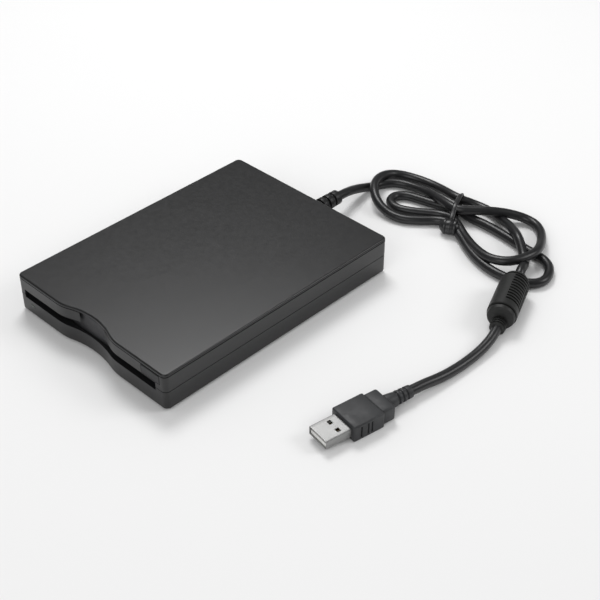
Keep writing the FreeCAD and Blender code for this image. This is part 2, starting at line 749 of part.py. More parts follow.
def make_slide():
    """Cam plate over the holder, the eject button on it, and its two pull springs."""
    body = new_body("slide_body")
    far = "(%s+slide_length)" % SLIDE_NEAR
    left = "(mech_shift-%s)" % SLIDE_HALF
    right = "(mech_shift+%s)" % SLIDE_HALF
    pad(body, SLIDE_LEVEL, "sheet", rectangle(left, SLIDE_NEAR, right, far))
    pocket(body, SLIDE_TOP + "+%s" % SKIM, "sheet+%s" % (2 * SKIM),
           rectangle("(%s+8.9)" % left, "(%s+9)" % SLIDE_NEAR, "(%s-8.9)" % right, "(%s+1)" % far))
    flange_low = "(%s-holder_drop-pin_radius-0.9)" % PIN_LEVEL
    pad(body, flange_low, "%s-%s+%s" % (SLIDE_LEVEL, flange_low, SKIM),
        *both_sides("(%s-sheet)" % SLIDE_HALF, SLIDE_HALF, SLIDE_NEAR, far))
    lug_near = "(%s+46.5)" % FRONT
    pad(body, SLIDE_TOP + "-%s" % SKIM, "2.4",
        *both_sides("(%s-3.9)" % SLIDE_HALF, "(%s-1.9)" % SLIDE_HALF, lug_near, "(%s+1)" % lug_near))
    pocket_left(body, "(%s+1)" % right, "2*%s+2" % SLIDE_HALF, *[cam_slot(y) for y in PIN_PLACES])
    keep("slide_plate", body)

    button = new_body("button_body")
    button_left = "(button_right-button_width)"
    face = "(%s-button_proud)" % FRONT
    button_back = "(%s+button_thick-button_proud)" % FRONT
    pad(button, "button_low", "button_high-button_low",
        rectangle(button_left, face, "button_right", button_back))
    front_y = -size("shell_depth") / 2 - size("button_proud")
    round_edges(button, 0.5, lambda edge: near(edge.BoundBox.YMax, front_y))
    arm_right = "(button_right-0.1)"
    arm_left = "(%s-arm_thick)" % arm_right
    tab_near = "(%s-2)" % SLIDE_NEAR
    pad(button, "button_low+0.2", "1.4",
        rectangle(arm_left, "(%s-%s)" % (button_back, SKIM), arm_right, SLIDE_NEAR))
    tab_left = "(%s-sheet)" % right
    pad(button, "%s-1.4" % SLIDE_TOP, "button_low+2.8-%s" % SLIDE_TOP,
        rectangle(tab_left, tab_near, "(%s+%s)" % (arm_left, SKIM), SLIDE_NEAR))
    keep("eject_button", button)

    springs = []
    for side in ("-", "+"):
        centre = "(mech_shift%s(%s-2.9))" % (side, SLIDE_HALF)
        level = "(%s+0.4)" % FINGER_LOW
        coil = sleeve((centre, "%s+32" % FRONT, level), 1.5, 0.9, 12, "y")
        end_turns = [
            block(("%s-0.4" % centre, "%s+%s" % (FRONT, y), "%s-1.2" % level), (0.8, 0.8, 2.4))
            for y in ("32", "43.2")
        ]
        loop_near = "(%s-0.8)" % FINGER_NEAR
        loop = block(("%s-0.4" % centre, loop_near, "%s-1" % level),
                     (0.8, "%s+32.2-%s" % (FRONT, loop_near), 2))
        eye = block(("%s-1" % centre, "%s+0.5" % loop_near, "%s-0.7" % level),
                    (2, "slide_travel+1.9", 1.4))
        tail = block(("%s-0.4" % centre, "%s+43.8" % FRONT, "%s-0.4" % level), (0.8, 2.7, 0.8))
        springs.append(join(coil, cut(loop, eye), tail, *end_turns))
    keep("slide_springs", group(*springs))


def make_latch():
    """Lever that opens the disk's shutter and sends the disk out, on a post with its spring."""
    hub = rod((0, 0, 0), 3, "wall_sheet")
    arm = block((0, -2, 0), ("lever_length", 4, "wall_sheet"))
    nose = rod(("lever_length", 0, "-6.5"), 1.2, "6.5+wall_sheet")
    tip = rod(("lever_length", 0, 0), 2, "wall_sheet")
    bore = rod((0, 0, 0), "1.5+fit_clear", "wall_sheet")
    lever = cut(join(hub, arm, nose, tip), bore)
    turn = FreeCAD.Rotation(FreeCAD.Vector(0, 0, 1), size("lever_rest"))
    lever.Placement = FreeCAD.Placement(FreeCAD.Vector(), turn)
    keep("latch_lever", place(lever, (LEVER_X, LEVER_PLACE, LEVER_LEVEL)))
    shoulder = rod((LEVER_X, LEVER_PLACE, CHASSIS_TOP), 2.2, "%s-%s-0.1" % (LEVER_LEVEL, CHASSIS_TOP))
    neck = rod((LEVER_X, LEVER_PLACE, "%s-0.2" % LEVER_LEVEL), 1.5, 1.4)
    head = rod((LEVER_X, LEVER_PLACE, "%s+wall_sheet+0.1" % LEVER_LEVEL), 2.3, 0.5)
    keep("lever_post", join(shoulder, neck, head))
    keep("lever_spring", sleeve((LEVER_X, LEVER_PLACE, "%s-3" % LEVER_LEVEL), 3.1, 2.3, 2.7))


# ---- Spindle motor ------------------------------------------------------------------------------


def make_spindle():
    """Flat motor: board, coils and bearing stay; yoke, magnet, shaft and drive pin turn."""
    centre = ("mech_shift", SPINDLE_PLACE)
    yoke_low = "(%s+0.55)" % CHASSIS_TOP
    yoke_top = "(%s+0.5)" % yoke_low
    board = block(
        ("mech_shift-29", "%s-27.5" % SPINDLE_PLACE, "%s-0.5" % CHASSIS_FLOOR), (58, 55, 0.5)
    )
    hole = rod((*centre, "%s-0.5" % CHASSIS_FLOOR), 3, 0.5)
    keep("motor_board", cut(board, hole))
    coils = []
    for step in range(6):
        angle = math.radians(60 * step + 30)
        x = "mech_shift+%.4f" % (13 * math.cos(angle))
        y = "%s+%.4f" % (SPINDLE_PLACE, 13 * math.sin(angle))
        coils.append(sleeve((x, y, CHASSIS_FLOOR), 4, 1.5, 0.45))
    keep("stator_coils", group(*coils))
    keep("spindle_bearing",
         sleeve((*centre, "%s-0.5" % CHASSIS_FLOOR), 3, "shaft_radius+0.03", "sheet+0.8"))
    disc = rod((*centre, yoke_low), "rotor_radius", 0.5)
    boss = rod((*centre, yoke_low), 12, 0.9)
    keep("rotor_yoke", cut(join(disc, boss), rod((*centre, yoke_low), "shaft_radius", 2)))
    keep("rotor_magnet", sleeve((*centre, "%s-0.4" % yoke_low), "rotor_radius-1.5", 8.5, 0.4))
    keep("spindle_shaft", rod((*centre, "%s-0.45" % CHASSIS_FLOOR), "shaft_radius", 3.95))
    keep("drive_pin", rod(("mech_shift+10", SPINDLE_PLACE, "%s+0.4" % yoke_top), 1, 1.1))


# ---- Heads --------------------------------------------------------------------------------------

CARRIAGE_NEAR = "(%s+carriage_setback)" % FRONT
CARRIAGE_FAR = "(%s+8)" % CARRIAGE_NEAR
HEAD_PLACE = "(%s+head_radius)" % SPINDLE_PLACE
ROD_X = "(mech_shift+13)"
ROD_LEVEL = "(%s+2.5)" % CHASSIS_TOP
LEAD_X = "(mech_shift-15)"
LEAD_LEVEL = "(%s+4.9)" % CHASSIS_TOP
ARM_PIVOT_PLACE = "(%s+6.5)" % CARRIAGE_NEAR
ARM_PIVOT_LEVEL = "(%s+6.7)" % CHASSIS_TOP


def make_carriage():
    """Head carriage on its guide rod, with the lower arm and lower head."""
    low = "(%s+0.5)" % CHASSIS_TOP
    base = block(("mech_shift-9", CARRIAGE_NEAR, low), (18, 8, 4.5))
    knuckle = block(("mech_shift+9", CARRIAGE_NEAR + "+2.5", low), (7.5, 5.5, 4.2))
    fork = block(("mech_shift-17.5", CARRIAGE_NEAR + "+2.5", "%s-2.2" % LEAD_LEVEL), (8.7, 3, 3.9))
    ears = [
        block(("mech_shift%s" % x, "%s-1.5" % ARM_PIVOT_PLACE, low + "+4.4"), (2, 3, 3.5))
        for x in ("-8.5", "+6.5")
    ]
    lower_arm = block(("mech_shift-4.5", "%s-2.5" % HEAD_PLACE, "%s+run_clear" % CHASSIS_TOP),
                      (9, "%s-%s+2.5" % (CARRIAGE_NEAR, HEAD_PLACE), 0.7))
    foot = block(("mech_shift-4.5", CARRIAGE_NEAR, "%s+run_clear" % CHASSIS_TOP), (9, 4, 0.7))
    rod_bore = rod((ROD_X, CARRIAGE_NEAR, ROD_LEVEL), "rod_radius+fit_clear", 10, "y")
    lead_bore = rod((LEAD_X, CARRIAGE_NEAR, LEAD_LEVEL), "screw_radius+0.08", 8, "y")
    pin_bore = rod(("mech_shift-9", ARM_PIVOT_PLACE, ARM_PIVOT_LEVEL), 0.75, 18, "x")
    keep("head_carriage",
         cut(join(base, knuckle, fork, lower_arm, foot, *ears), rod_bore, lead_bore, pin_bore))
    keep("lower_head", block(("mech_shift-1.3", "%s-2" % HEAD_PLACE, "%s+1" % CHASSIS_TOP),
                             (2.6, 4, 1.9)))
    keep("arm_pin", rod(("mech_shift-8.6", ARM_PIVOT_PLACE, ARM_PIVOT_LEVEL), 0.75, 20.4, "x"))
    keep("arm_spring",
         sleeve(("mech_shift+9.2", ARM_PIVOT_PLACE, ARM_PIVOT_LEVEL), 1.4, 0.8, 2.4, "x"))


def make_upper_arm():
    """Upper head arm, drawn level about its pivot and stored lifted off the disk."""
    reach = size("carriage_setback") + 6.5 - size("spindle_setback") - size("head_radius")
    body = new_body("arm_body")
    pad(body, "-0.4", "0.8", [
        ("6.2", "1.5"), ("-6.2", "1.5"), ("-6.2", "-8"), ("-3.2", str(-reach - 2.5)),
        ("3.2", str(-reach - 2.5)), ("6.2", "-8"),
    ])
    barrel = rod((-6.2, 0, 0), 1.4, 12.4, "x")
    bore = rod((-6.2, 0, 0), 0.79, 12.4, "x")
    slider = block((-1.3, -reach - 2, -3.7), (2.6, 4, 3.3))
    lifted = FreeCAD.Rotation(FreeCAD.Vector(1, 0, 0), -size("arm_lift"))
    arm = cut(join(body, barrel), bore)
    for name, piece in (("upper_head_arm", arm), ("upper_head", group(slider))):
        piece.Placement = FreeCAD.Placement(FreeCAD.Vector(), lifted)
        keep(name, place(piece, ("mech_shift", ARM_PIVOT_PLACE, ARM_PIVOT_LEVEL)))


def make_head_drive():
    """Guide rod and clamps, lead screw, stepper motor and its bracket."""
    clamp_near = "(%s+102.2)" % FRONT
    clamp_far = "(%s+128.5)" % FRONT
    keep("guide_rod", rod((ROD_X, clamp_near, ROD_LEVEL), "rod_radius", "28.3", "y"))
    clamps = [
        cut(block(("%s-2.5" % ROD_X, y, CHASSIS_TOP), (5, 2, 4.5)),
            rod((ROD_X, y, ROD_LEVEL), "rod_radius", 2, "y"))
        for y in (clamp_near, clamp_far)
    ]
    keep("rod_clamps", group(*clamps))
    plate_near = "(%s+123.2)" % FRONT
    plate = block(("%s-5.5" % LEAD_X, plate_near, CHASSIS_TOP), (11, "wall_sheet", 9.9))
    strip = block(("%s-2.5" % LEAD_X, clamp_near, CHASSIS_TOP), (5, "%s-%s+0.2" % (plate_near, clamp_near), 0.6))
    ear = block(("%s-2.5" % LEAD_X, clamp_near, CHASSIS_TOP), (5, 1, 6.7))
    bore = rod((LEAD_X, "%s-1" % clamp_near, LEAD_LEVEL), "screw_radius+0.06", 24, "y")
    keep("stepper_bracket", cut(join(plate, strip, ear), bore))
    can = rod((LEAD_X, "%s+wall_sheet" % plate_near, LEAD_LEVEL), 4.9, 12.5, "y")
    socket = rod((LEAD_X, "%s+wall_sheet" % plate_near, LEAD_LEVEL), "screw_radius+0.06", 2.5, "y")
    keep("stepper_motor", cut(can, socket))
    keep("lead_screw", rod((LEAD_X, "%s-0.2" % clamp_near, LEAD_LEVEL), "screw_radius", 23.5, "y"))


# ---- Boards -------------------------------------------------------------------------------------


def make_front_board():
    """Front board with its light, the light pipe and two switches."""
    board_near = "(%s+9.5)" % FRONT
    board = block(("mech_shift-45", board_near, FRONT_BOARD_LEVEL), (90, 10, 0.6))
    top = "(%s+0.6)" % FRONT_BOARD_LEVEL
    light_x = "(mech_shift-light_shift)"
    emitter = block(("%s-0.8" % light_x, board_near + "+0.8", top), (1.6, 1.2, 1.6))
    keep("front_board", join(board, emitter))
    keep("light_pipe", block(
        ("%s-light_width/2" % light_x, "%s-0.1" % FRONT, "light_level-light_height/2"),
        ("light_width", "10.3", "light_height")))
    switch_y = "(%s+15.9)" % FRONT
    places = {
        "write_protect_plunger": "(mech_shift-41)",
        "disk_in_plunger": "(mech_shift+35.5)",
    }
    cases = []
    for name, x in places.items():
        shell = block(("%s-1.75" % x, "%s-1.75" % switch_y, top), (3.5, 3.5, 1.5))
        bore = rod((x, switch_y, "%s+0.1" % top), "plunger_radius+fit_clear", 2)
        cases.append(cut(shell, bore))
        keep(name, rod((x, switch_y, "%s+1.2" % top), "plunger_radius", 1.7))
    keep("switch_cases", group(*cases))


def make_inner_screws():
    """Low-headed screws of the chassis and of the bridge board, all alike."""
    seats = [(x, y, CHASSIS_TOP) for x, y in chassis_screw_places()]
    seats += [(x, behind(y), "(board_level+board_thick)") for x, y in BRIDGE_POSTS]
    screws = []
    for x, y, seat in seats:
        head = rod((x, y, seat), 1.9, 0.45)
        screws.append(join(head, rod((x, y, "%s-1.7" % seat), 0.8, 1.9)))
    keep("inner_screws", group(*screws))


def make_rear_boards():
    """Control board, USB bridge board, their parts, and the ribbon between them."""
    board_top = "(board_level+board_thick)"
    keep("control_board",
         block(("mech_shift-40.5", "(%s+111)" % FRONT, "board_level"), (18, 26.5, "board_thick")))
    board = block(("17.8", behind("109"), "board_level"), (22.2, 28, "board_thick"))
    holes = [rod((x, behind(y), "board_level"), 0.9, "board_thick") for x, y in BRIDGE_POSTS]
    keep("bridge_board", cut(board, *holes))
    keep("board_chips", group(
        block(("mech_shift-36.5", "(%s+117)" % FRONT, board_top), (10, 10, 1.3)),
        block(("24", behind("115"), board_top), (8, 8, 1.3))))
    keep("board_connectors", group(
        block(("mech_shift-26.5", "(%s+131)" % FRONT, board_top), (3.5, 6, 1.5)),
        block(("18.3", behind("131"), board_top), (3.5, 6, 1.5)),
        block(("25", behind("130.5"), board_top), (7, 6, 5.2))))
    near_y = behind("131.5")
    left = "(mech_shift-22.3)"
    lay = "(%s+0.1)" % INNER_FLOOR
    tab = "(%s+0.5)" % board_top
    ribbon = join(
        block((left, near_y, lay), ("17.6-%s" % left, 5, 0.3)),
        block((left, near_y, lay), (0.3, 5, "%s-%s+0.3" % (tab, lay))),
        block(("mech_shift-23", near_y, tab), (1, 5, 0.3)),
        block((17.3, near_y, lay), (0.3, 5, "%s-%s+0.3" % (tab, lay))),
        block((17.3, near_y, tab), (1, 5, 0.3)),
    )
    keep("drive_ribbon", ribbon)


# ---- Cord ---------------------------------------------------------------------------------------

# Points of the cord's middle line, in millimetres. The hank has its own outline below.
LEAD_ROUTE = [(0.5, 91.0, 10.75), (0.5, 95.6, 10.75), (-0.8, 103.4, 8.5), (-1.7, 110.7, 5.7),
              (-1.8, 116.8, 3.6), (-0.9, 121.4, 2.8)]
BEAD_START = (107.5, 102.2)
PLUG_ROUTE = [(120.19, 71.74, 4.8), (122.4, 66.43, 4.8), (124.1, 59.2, 3.6), (124.7, 49.0, 2.55),
              (124.4, 36.5, 2.5), (123.4, 26.0, 2.9), (121.53, 15.49, 4.3), (120.3, 8.6, 4.3)]
HANK_OUTLINE = [
    (-2.6, 117.8), (-7.7, 130.8), (-4.4, 142.0), (5.6, 147.0), (16.5, 147.8), (27.0, 146.8),
    (36.2, 144.8), (42.6, 142.2), (48.4, 146.2), (55.8, 147.4), (64.5, 152.4), (75.0, 155.8),
    (87.8, 152.2), (95.8, 145.0), (101.6, 135.6), (112.6, 127.0), (117.6, 115.0), (115.9, 107.8),
    (112.6, 104.7), (101.6, 100.2), (93.8, 100.8), (84.5, 102.0), (75.0, 108.0), (66.0, 113.2),
    (58.8, 116.6), (53.7, 117.4), (46.0, 119.0), (41.8, 115.3), (35.9, 110.0), (31.8, 105.4),
    (24.5, 103.2), (13.8, 105.6), (2.8, 112.8),
]
HANK_HEIGHT = 9.2
TIE_CENTRE = (48.1, 129.6)
TIE_YAW = 115.0
BEAD_YAW = math.degrees(math.atan2(-30.5, 12.7))
PLUG_YAW = 10.1


def cord_path(points):
    """Straight runs joined by tangent arcs as large as the shorter run allows, and their radii."""
    spots = [FreeCAD.Vector(*p) for p in points]
    edges = []
    radii = []
    start = spots[0]
    for before, corner, after in zip(spots, spots[1:], spots[2:]):
        back = (before - corner).normalize()
        ahead = (after - corner).normalize()
        turn = math.pi - back.getAngle(ahead)
        shorter = min((before - corner).Length, (after - corner).Length)
        setback = 0.45 * shorter
        radius = setback / math.tan(turn / 2)
        radii.append(round(radius, 1))
        enter = corner + back * setback
        leave = corner + ahead * setback
        inward = (back + ahead).normalize()
        middle = corner + inward * (radius / math.cos(turn / 2) - radius)
        edges.append(Part.LineSegment(start, enter).toShape())
        edges.append(Part.Arc(enter, middle, leave).toShape())
        start = leave
    edges.append(Part.LineSegment(start, spots[-1]).toShape())
    return Part.Wire(edges), radii


def cord_tube(name, points, diameter):
    """Round cord along a route, with its volume compared with section times length."""
    path, radii = cord_path(points)
    radius = diameter / 2
    start = FreeCAD.Vector(*points[0])
    along = FreeCAD.Vector(*points[1]) - start
    section = Part.Wire([Part.Circle(start, along, radius).toShape()])
    tube = path.makePipeShell([section], True, False)
    expected = math.pi * radius ** 2 * path.Length
    print("%s: length %.1f, radii %s, volume ratio %.4f"
          % (name, path.Length, radii, tube.Volume / expected))
    if tube.ShapeType != "Solid":
        tube = tube.Solids[0]
    keep(name, shaped(name, tube))


def make_gland():
    """Moulded strain relief held between the shells, with a ribbed boot outside."""
    centre = ("gland_x", "gland_level")
    inside = "(%s-2)" % INNER_BACK
    flange = rod((centre[0], inside, centre[1]), 5, 1.9, "y")
    neck = rod((centre[0], inside, centre[1]), "gland_neck", "wall+2", "y")
    collar = rod((centre[0], BACK, centre[1]), 4.2, 1.4, "y")
    core = taper((centre[0], BACK, centre[1]), 3.0, 2.6, "boot_length", "y")
    ribs = []
    for step in range(4):
        rib_radius = 4.2 - 0.1 * step
        ribs.append(rod((centre[0], "%s+2.7+%.2f" % (BACK, 4.4 * step), centre[1]),
                        rib_radius, 3.3, "y"))
    keep("strain_relief", join(flange, neck, collar, core, *ribs))
    lead_start = size("shell_depth") / 2 - size("wall") - 2
    x = size("gland_x")
    z = size("gland_level")
    line = 133.4 - size("shell_depth") / 2
    cord_tube("inner_lead", [
        (x, lead_start, z), (x, line + 1.6, z), (x + 3.4, line - 0.6, z + 0.1),
        (x + 9, line - 1.2, z + 0.45), (x + 15, line - 0.6, z + 0.75),
        (x + 20, line, z + 0.75), (25, line, z + 0.75),
    ], size("lead_diameter"))


def make_hank():
    """Outer shape of the tied hank, with a groove for its tie."""
    spots = [FreeCAD.Vector(x, y, 0.05) for x, y in HANK_OUTLINE]
    outline = Part.makePolygon(spots + spots[:1])
    solid = Part.Face(outline).extrude(FreeCAD.Vector(0, 0, HANK_HEIGHT - 0.05))
    turn = FreeCAD.Rotation(FreeCAD.Vector(0, 0, 1), TIE_YAW)
    centre = FreeCAD.Vector(*TIE_CENTRE, 0)
    frame = FreeCAD.Placement(centre, turn)

    def ring_blocks(half_long, low, high, half_thick):
        ring = Part.makeBox(2 * half_long, 2 * half_thick, high - low,
                            FreeCAD.Vector(-half_long, -half_thick, low))
        ring.Placement = frame
        return ring

    half = 12.7
    body = solid.cut(ring_blocks(half + 8, -1, 1.1, 1.2)).cut(
        ring_blocks(half + 8, HANK_HEIGHT - 1.1, HANK_HEIGHT + 1, 1.2))
    for side in (-1, 1):
        trim = Part.makeBox(12, 2.4, HANK_HEIGHT + 2,
                            FreeCAD.Vector(half - 0.5 if side > 0 else -half - 11.5, -1.2, -1))
        trim.Placement = frame
        body = body.cut(trim)
    body = body.Solids[0]
    keep("cord_hank", shaped("cord_hank", body))
    outer = ring_blocks(half + 0.4, 0.1, HANK_HEIGHT - 0.05, 1.0)
    inner = ring_blocks(half - 0.5, 1.0, HANK_HEIGHT - 1.0, 1.5)
    keep("hank_tie", shaped("hank_tie", outer.cut(inner)))


def make_bead():
    """Ferrite bead: ribbed moulded cover, core inside, cord through both."""
    radius = size("bead_radius")
    length = size("bead_length")
    drop = size("bead_bore_drop")
    cord = size("cord_diameter") / 2
    along = FreeCAD.Vector(0, 1, 0)

    def disc(y, r, thick, dz=0.0):
        return Part.makeCylinder(r, thick, FreeCAD.Vector(0, y, dz), along)

    cover = disc(2.2, radius, length - 4.4)
    cover = cover.fuse(Part.makeCone(radius - 1.6, radius, 1.4, FreeCAD.Vector(0, 0.8, 0), along))
    cover = cover.fuse(Part.makeCone(radius, radius - 1.6, 1.4,
                                     FreeCAD.Vector(0, length - 2.2, 0), along))
    cover = cover.fuse(disc(0, cord + 1.3, length, -drop)).removeSplitter()
    cavity = disc(3.4, radius - 1.3, length - 6.8)
    through = disc(-1, cord, length + 2, -drop)
    cover = cover.cut(cavity).cut(through)
    core = disc(3.4, radius - 1.3, length - 6.8).cut(disc(3, cord, length, -drop))
    inner_cord = disc(-2.4, cord, length + 2.4, -drop)
    start = FreeCAD.Vector(*BEAD_START, radius)
    turn = FreeCAD.Rotation(FreeCAD.Vector(0, 0, 1), BEAD_YAW - 90)
    for name, shape in (("bead_cover", cover), ("bead_core", core), ("cord_in_bead", inner_cord)):
        piece = shaped(name, shape)
        piece.Placement = FreeCAD.Placement(start, turn)
        keep(name, piece)


def make_plug():
    """USB-A plug: moulded body with stepped shoulders, steel shell, tongue and four contacts."""
    half = "(plug_width/2)"
    low = "(plug_level-plug_height/2)"
    tail = 49.5
    shell = cut(
        block(("-" + half, 0, low), ("plug_width", 18, "plug_height")),
        block(("0.35-" + half, "-1", low + "+0.35"), ("plug_width-0.7", 20, "plug_height-0.7")),
        block((-4.1, 6, "plug_level"), (2, 2.2, 4)),
        block((2.1, 6, "plug_level"), (2, 2.2, 4)),
    )
    tongue = block(("0.4-" + half, 0.7, low + "+0.35"), ("plug_width-0.8", 17.3, 1.85))
    contact_places = (-3.5, -1.0, 1.0, 3.5)
    contacts = [block((x - 0.5, 1.4, low + "+2.2"), (1.0, 9, 0.2)) for x in contact_places]
    front_block = block((-7.9, 13, "plug_level-4.2"), (15.8, 16.2, 8.4))
    rear_block = block((-6.2, 29, "plug_level-3.7"), (12.4, 7.5, 7.4))
    shoulder = taper((0, 36, "plug_level"), 3.7, 3.2, 5, "y")
    grommet = taper((0, 40.9, "plug_level"), 2.8, 2.5, tail - 40.9, "y")
    rings = [rod((0, y, "plug_level"), 3.2, 1.2, "y") for y in (42, 44.4, 46.8)]
    seat = block(("-" + half, 12, low), ("plug_width", 6, "plug_height"))
    moulding = cut(join(front_block, rear_block, shoulder, grommet, *rings), seat)
    tip = FreeCAD.Vector(*PLUG_ROUTE[-1][:2], 0) - FreeCAD.Vector(
        math.sin(math.radians(PLUG_YAW)) * tail, math.cos(math.radians(PLUG_YAW)) * tail, 0)
    turn = FreeCAD.Rotation(FreeCAD.Vector(0, 0, 1), -PLUG_YAW)
    pieces = {
        "plug_shell": shell,
        "plug_tongue": group(tongue),
        "plug_contacts": group(*contacts),
        "plug_moulding": moulding,
    }
    for name, piece in pieces.items():
        piece.Placement = FreeCAD.Placement(tip, turn)
        keep(name, piece)


# ---- Build and write ----------------------------------------------------------------------------


def report_faults():
    """Stop on a failed object, or on a sub-part with an empty or invalid shape."""
    for item in doc.Objects:
        if "Invalid" in item.State or "Error" in item.State:
            raise RuntimeError("%s (%s) did not build: %s" % (item.Name, item.Label, item.State))
    for name, item in nodes.items():
        if item.Shape.isNull() or not item.Shape.isValid() or not item.Shape.Solids:
            raise RuntimeError("%s has no valid solid" % name)


def main():
    """Build every sub-part, check it and write its STEP file."""
    make_lower_shell()
    make_upper_shell()
    make_feet_and_case_screws()
    make_dust_door()
    make_chassis()
    make_disk_holder()
    make_slide()
    make_latch()
    make_spindle()
    make_carriage()
    make_upper_arm()
    make_head_drive()
    make_front_board()
    make_rear_boards()
    make_inner_screws()
    make_gland()
    cord_tube("cord_to_hank", LEAD_ROUTE, size("cord_diameter"))
    make_hank()
    make_bead()
    cord_tube("cord_to_plug", PLUG_ROUTE, size("cord_diameter"))
    make_plug()
    doc.recompute()
    report_faults()
    os.makedirs("parts", exist_ok=True)
    for name, item in nodes.items():
        item.Shape.exportStep("parts/%s.step" % name)
        print("%s: %d solids, volume %.1f" % (name, len(item.Shape.Solids), item.Shape.Volume))
    print("%d sub-parts written" % len(nodes))


main()
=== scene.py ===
import logging
import math
from collections.abc import Callable, Iterable, Sequence
from dataclasses import dataclass
from enum import Enum

import bmesh
import bpy
from mathutils import Matrix, Vector


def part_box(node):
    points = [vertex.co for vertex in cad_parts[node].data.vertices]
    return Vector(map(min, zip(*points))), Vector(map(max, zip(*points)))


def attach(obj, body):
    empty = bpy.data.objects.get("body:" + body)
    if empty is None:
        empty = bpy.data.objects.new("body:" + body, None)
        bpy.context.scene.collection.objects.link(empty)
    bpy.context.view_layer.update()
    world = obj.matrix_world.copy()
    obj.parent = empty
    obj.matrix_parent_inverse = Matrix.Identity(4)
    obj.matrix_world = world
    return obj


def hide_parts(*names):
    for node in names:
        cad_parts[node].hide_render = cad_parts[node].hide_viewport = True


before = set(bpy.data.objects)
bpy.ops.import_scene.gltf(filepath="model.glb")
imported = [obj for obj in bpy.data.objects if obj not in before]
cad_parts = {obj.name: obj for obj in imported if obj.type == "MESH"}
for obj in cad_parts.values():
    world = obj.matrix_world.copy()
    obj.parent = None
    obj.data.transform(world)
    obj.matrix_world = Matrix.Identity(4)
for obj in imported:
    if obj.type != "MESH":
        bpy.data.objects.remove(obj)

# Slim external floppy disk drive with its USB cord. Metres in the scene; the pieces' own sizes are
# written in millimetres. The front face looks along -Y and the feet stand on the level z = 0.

logging.basicConfig(level=logging.INFO, format="%(message)s")
log = logging.getLogger("floppy_drive")

MM = 0.001
MERGE = 1e-4  # points of a form nearer than this, in millimetres, become one
NODES: dict[str, bpy.types.Object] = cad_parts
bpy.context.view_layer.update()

EXIT_LEVEL = 10.75  # height, in millimetres, at which the cord leaves the back
FULL = (0.0, 1.0)
NOISE_SPAN = (0.3, 0.7)  # most values of a noise lie in it
NOISE_CORE = (0.35, 0.65)

Pair = tuple[float, float]
Point = tuple[float, float, float]
Colour = tuple[float, float, float]
Pairs = tuple[Pair, ...]
Socket = bpy.types.NodeSocket


class Body(Enum):
    """Moving and fixed bodies of the drive that pieces ride on."""

    CASE = "case"
    SLIDE = "slide"
    DOOR = "door"
    SCREW = "screw"
    CARRIAGE = "carriage"


class Axis(Enum):
    """Axes that turned pieces are made about."""

    X = Vector((1, 0, 0))
    Y = Vector((0, 1, 0))
    Z = Vector((0, 0, 1))


# ---- Finishes -----------------------------------------------------------------------------------


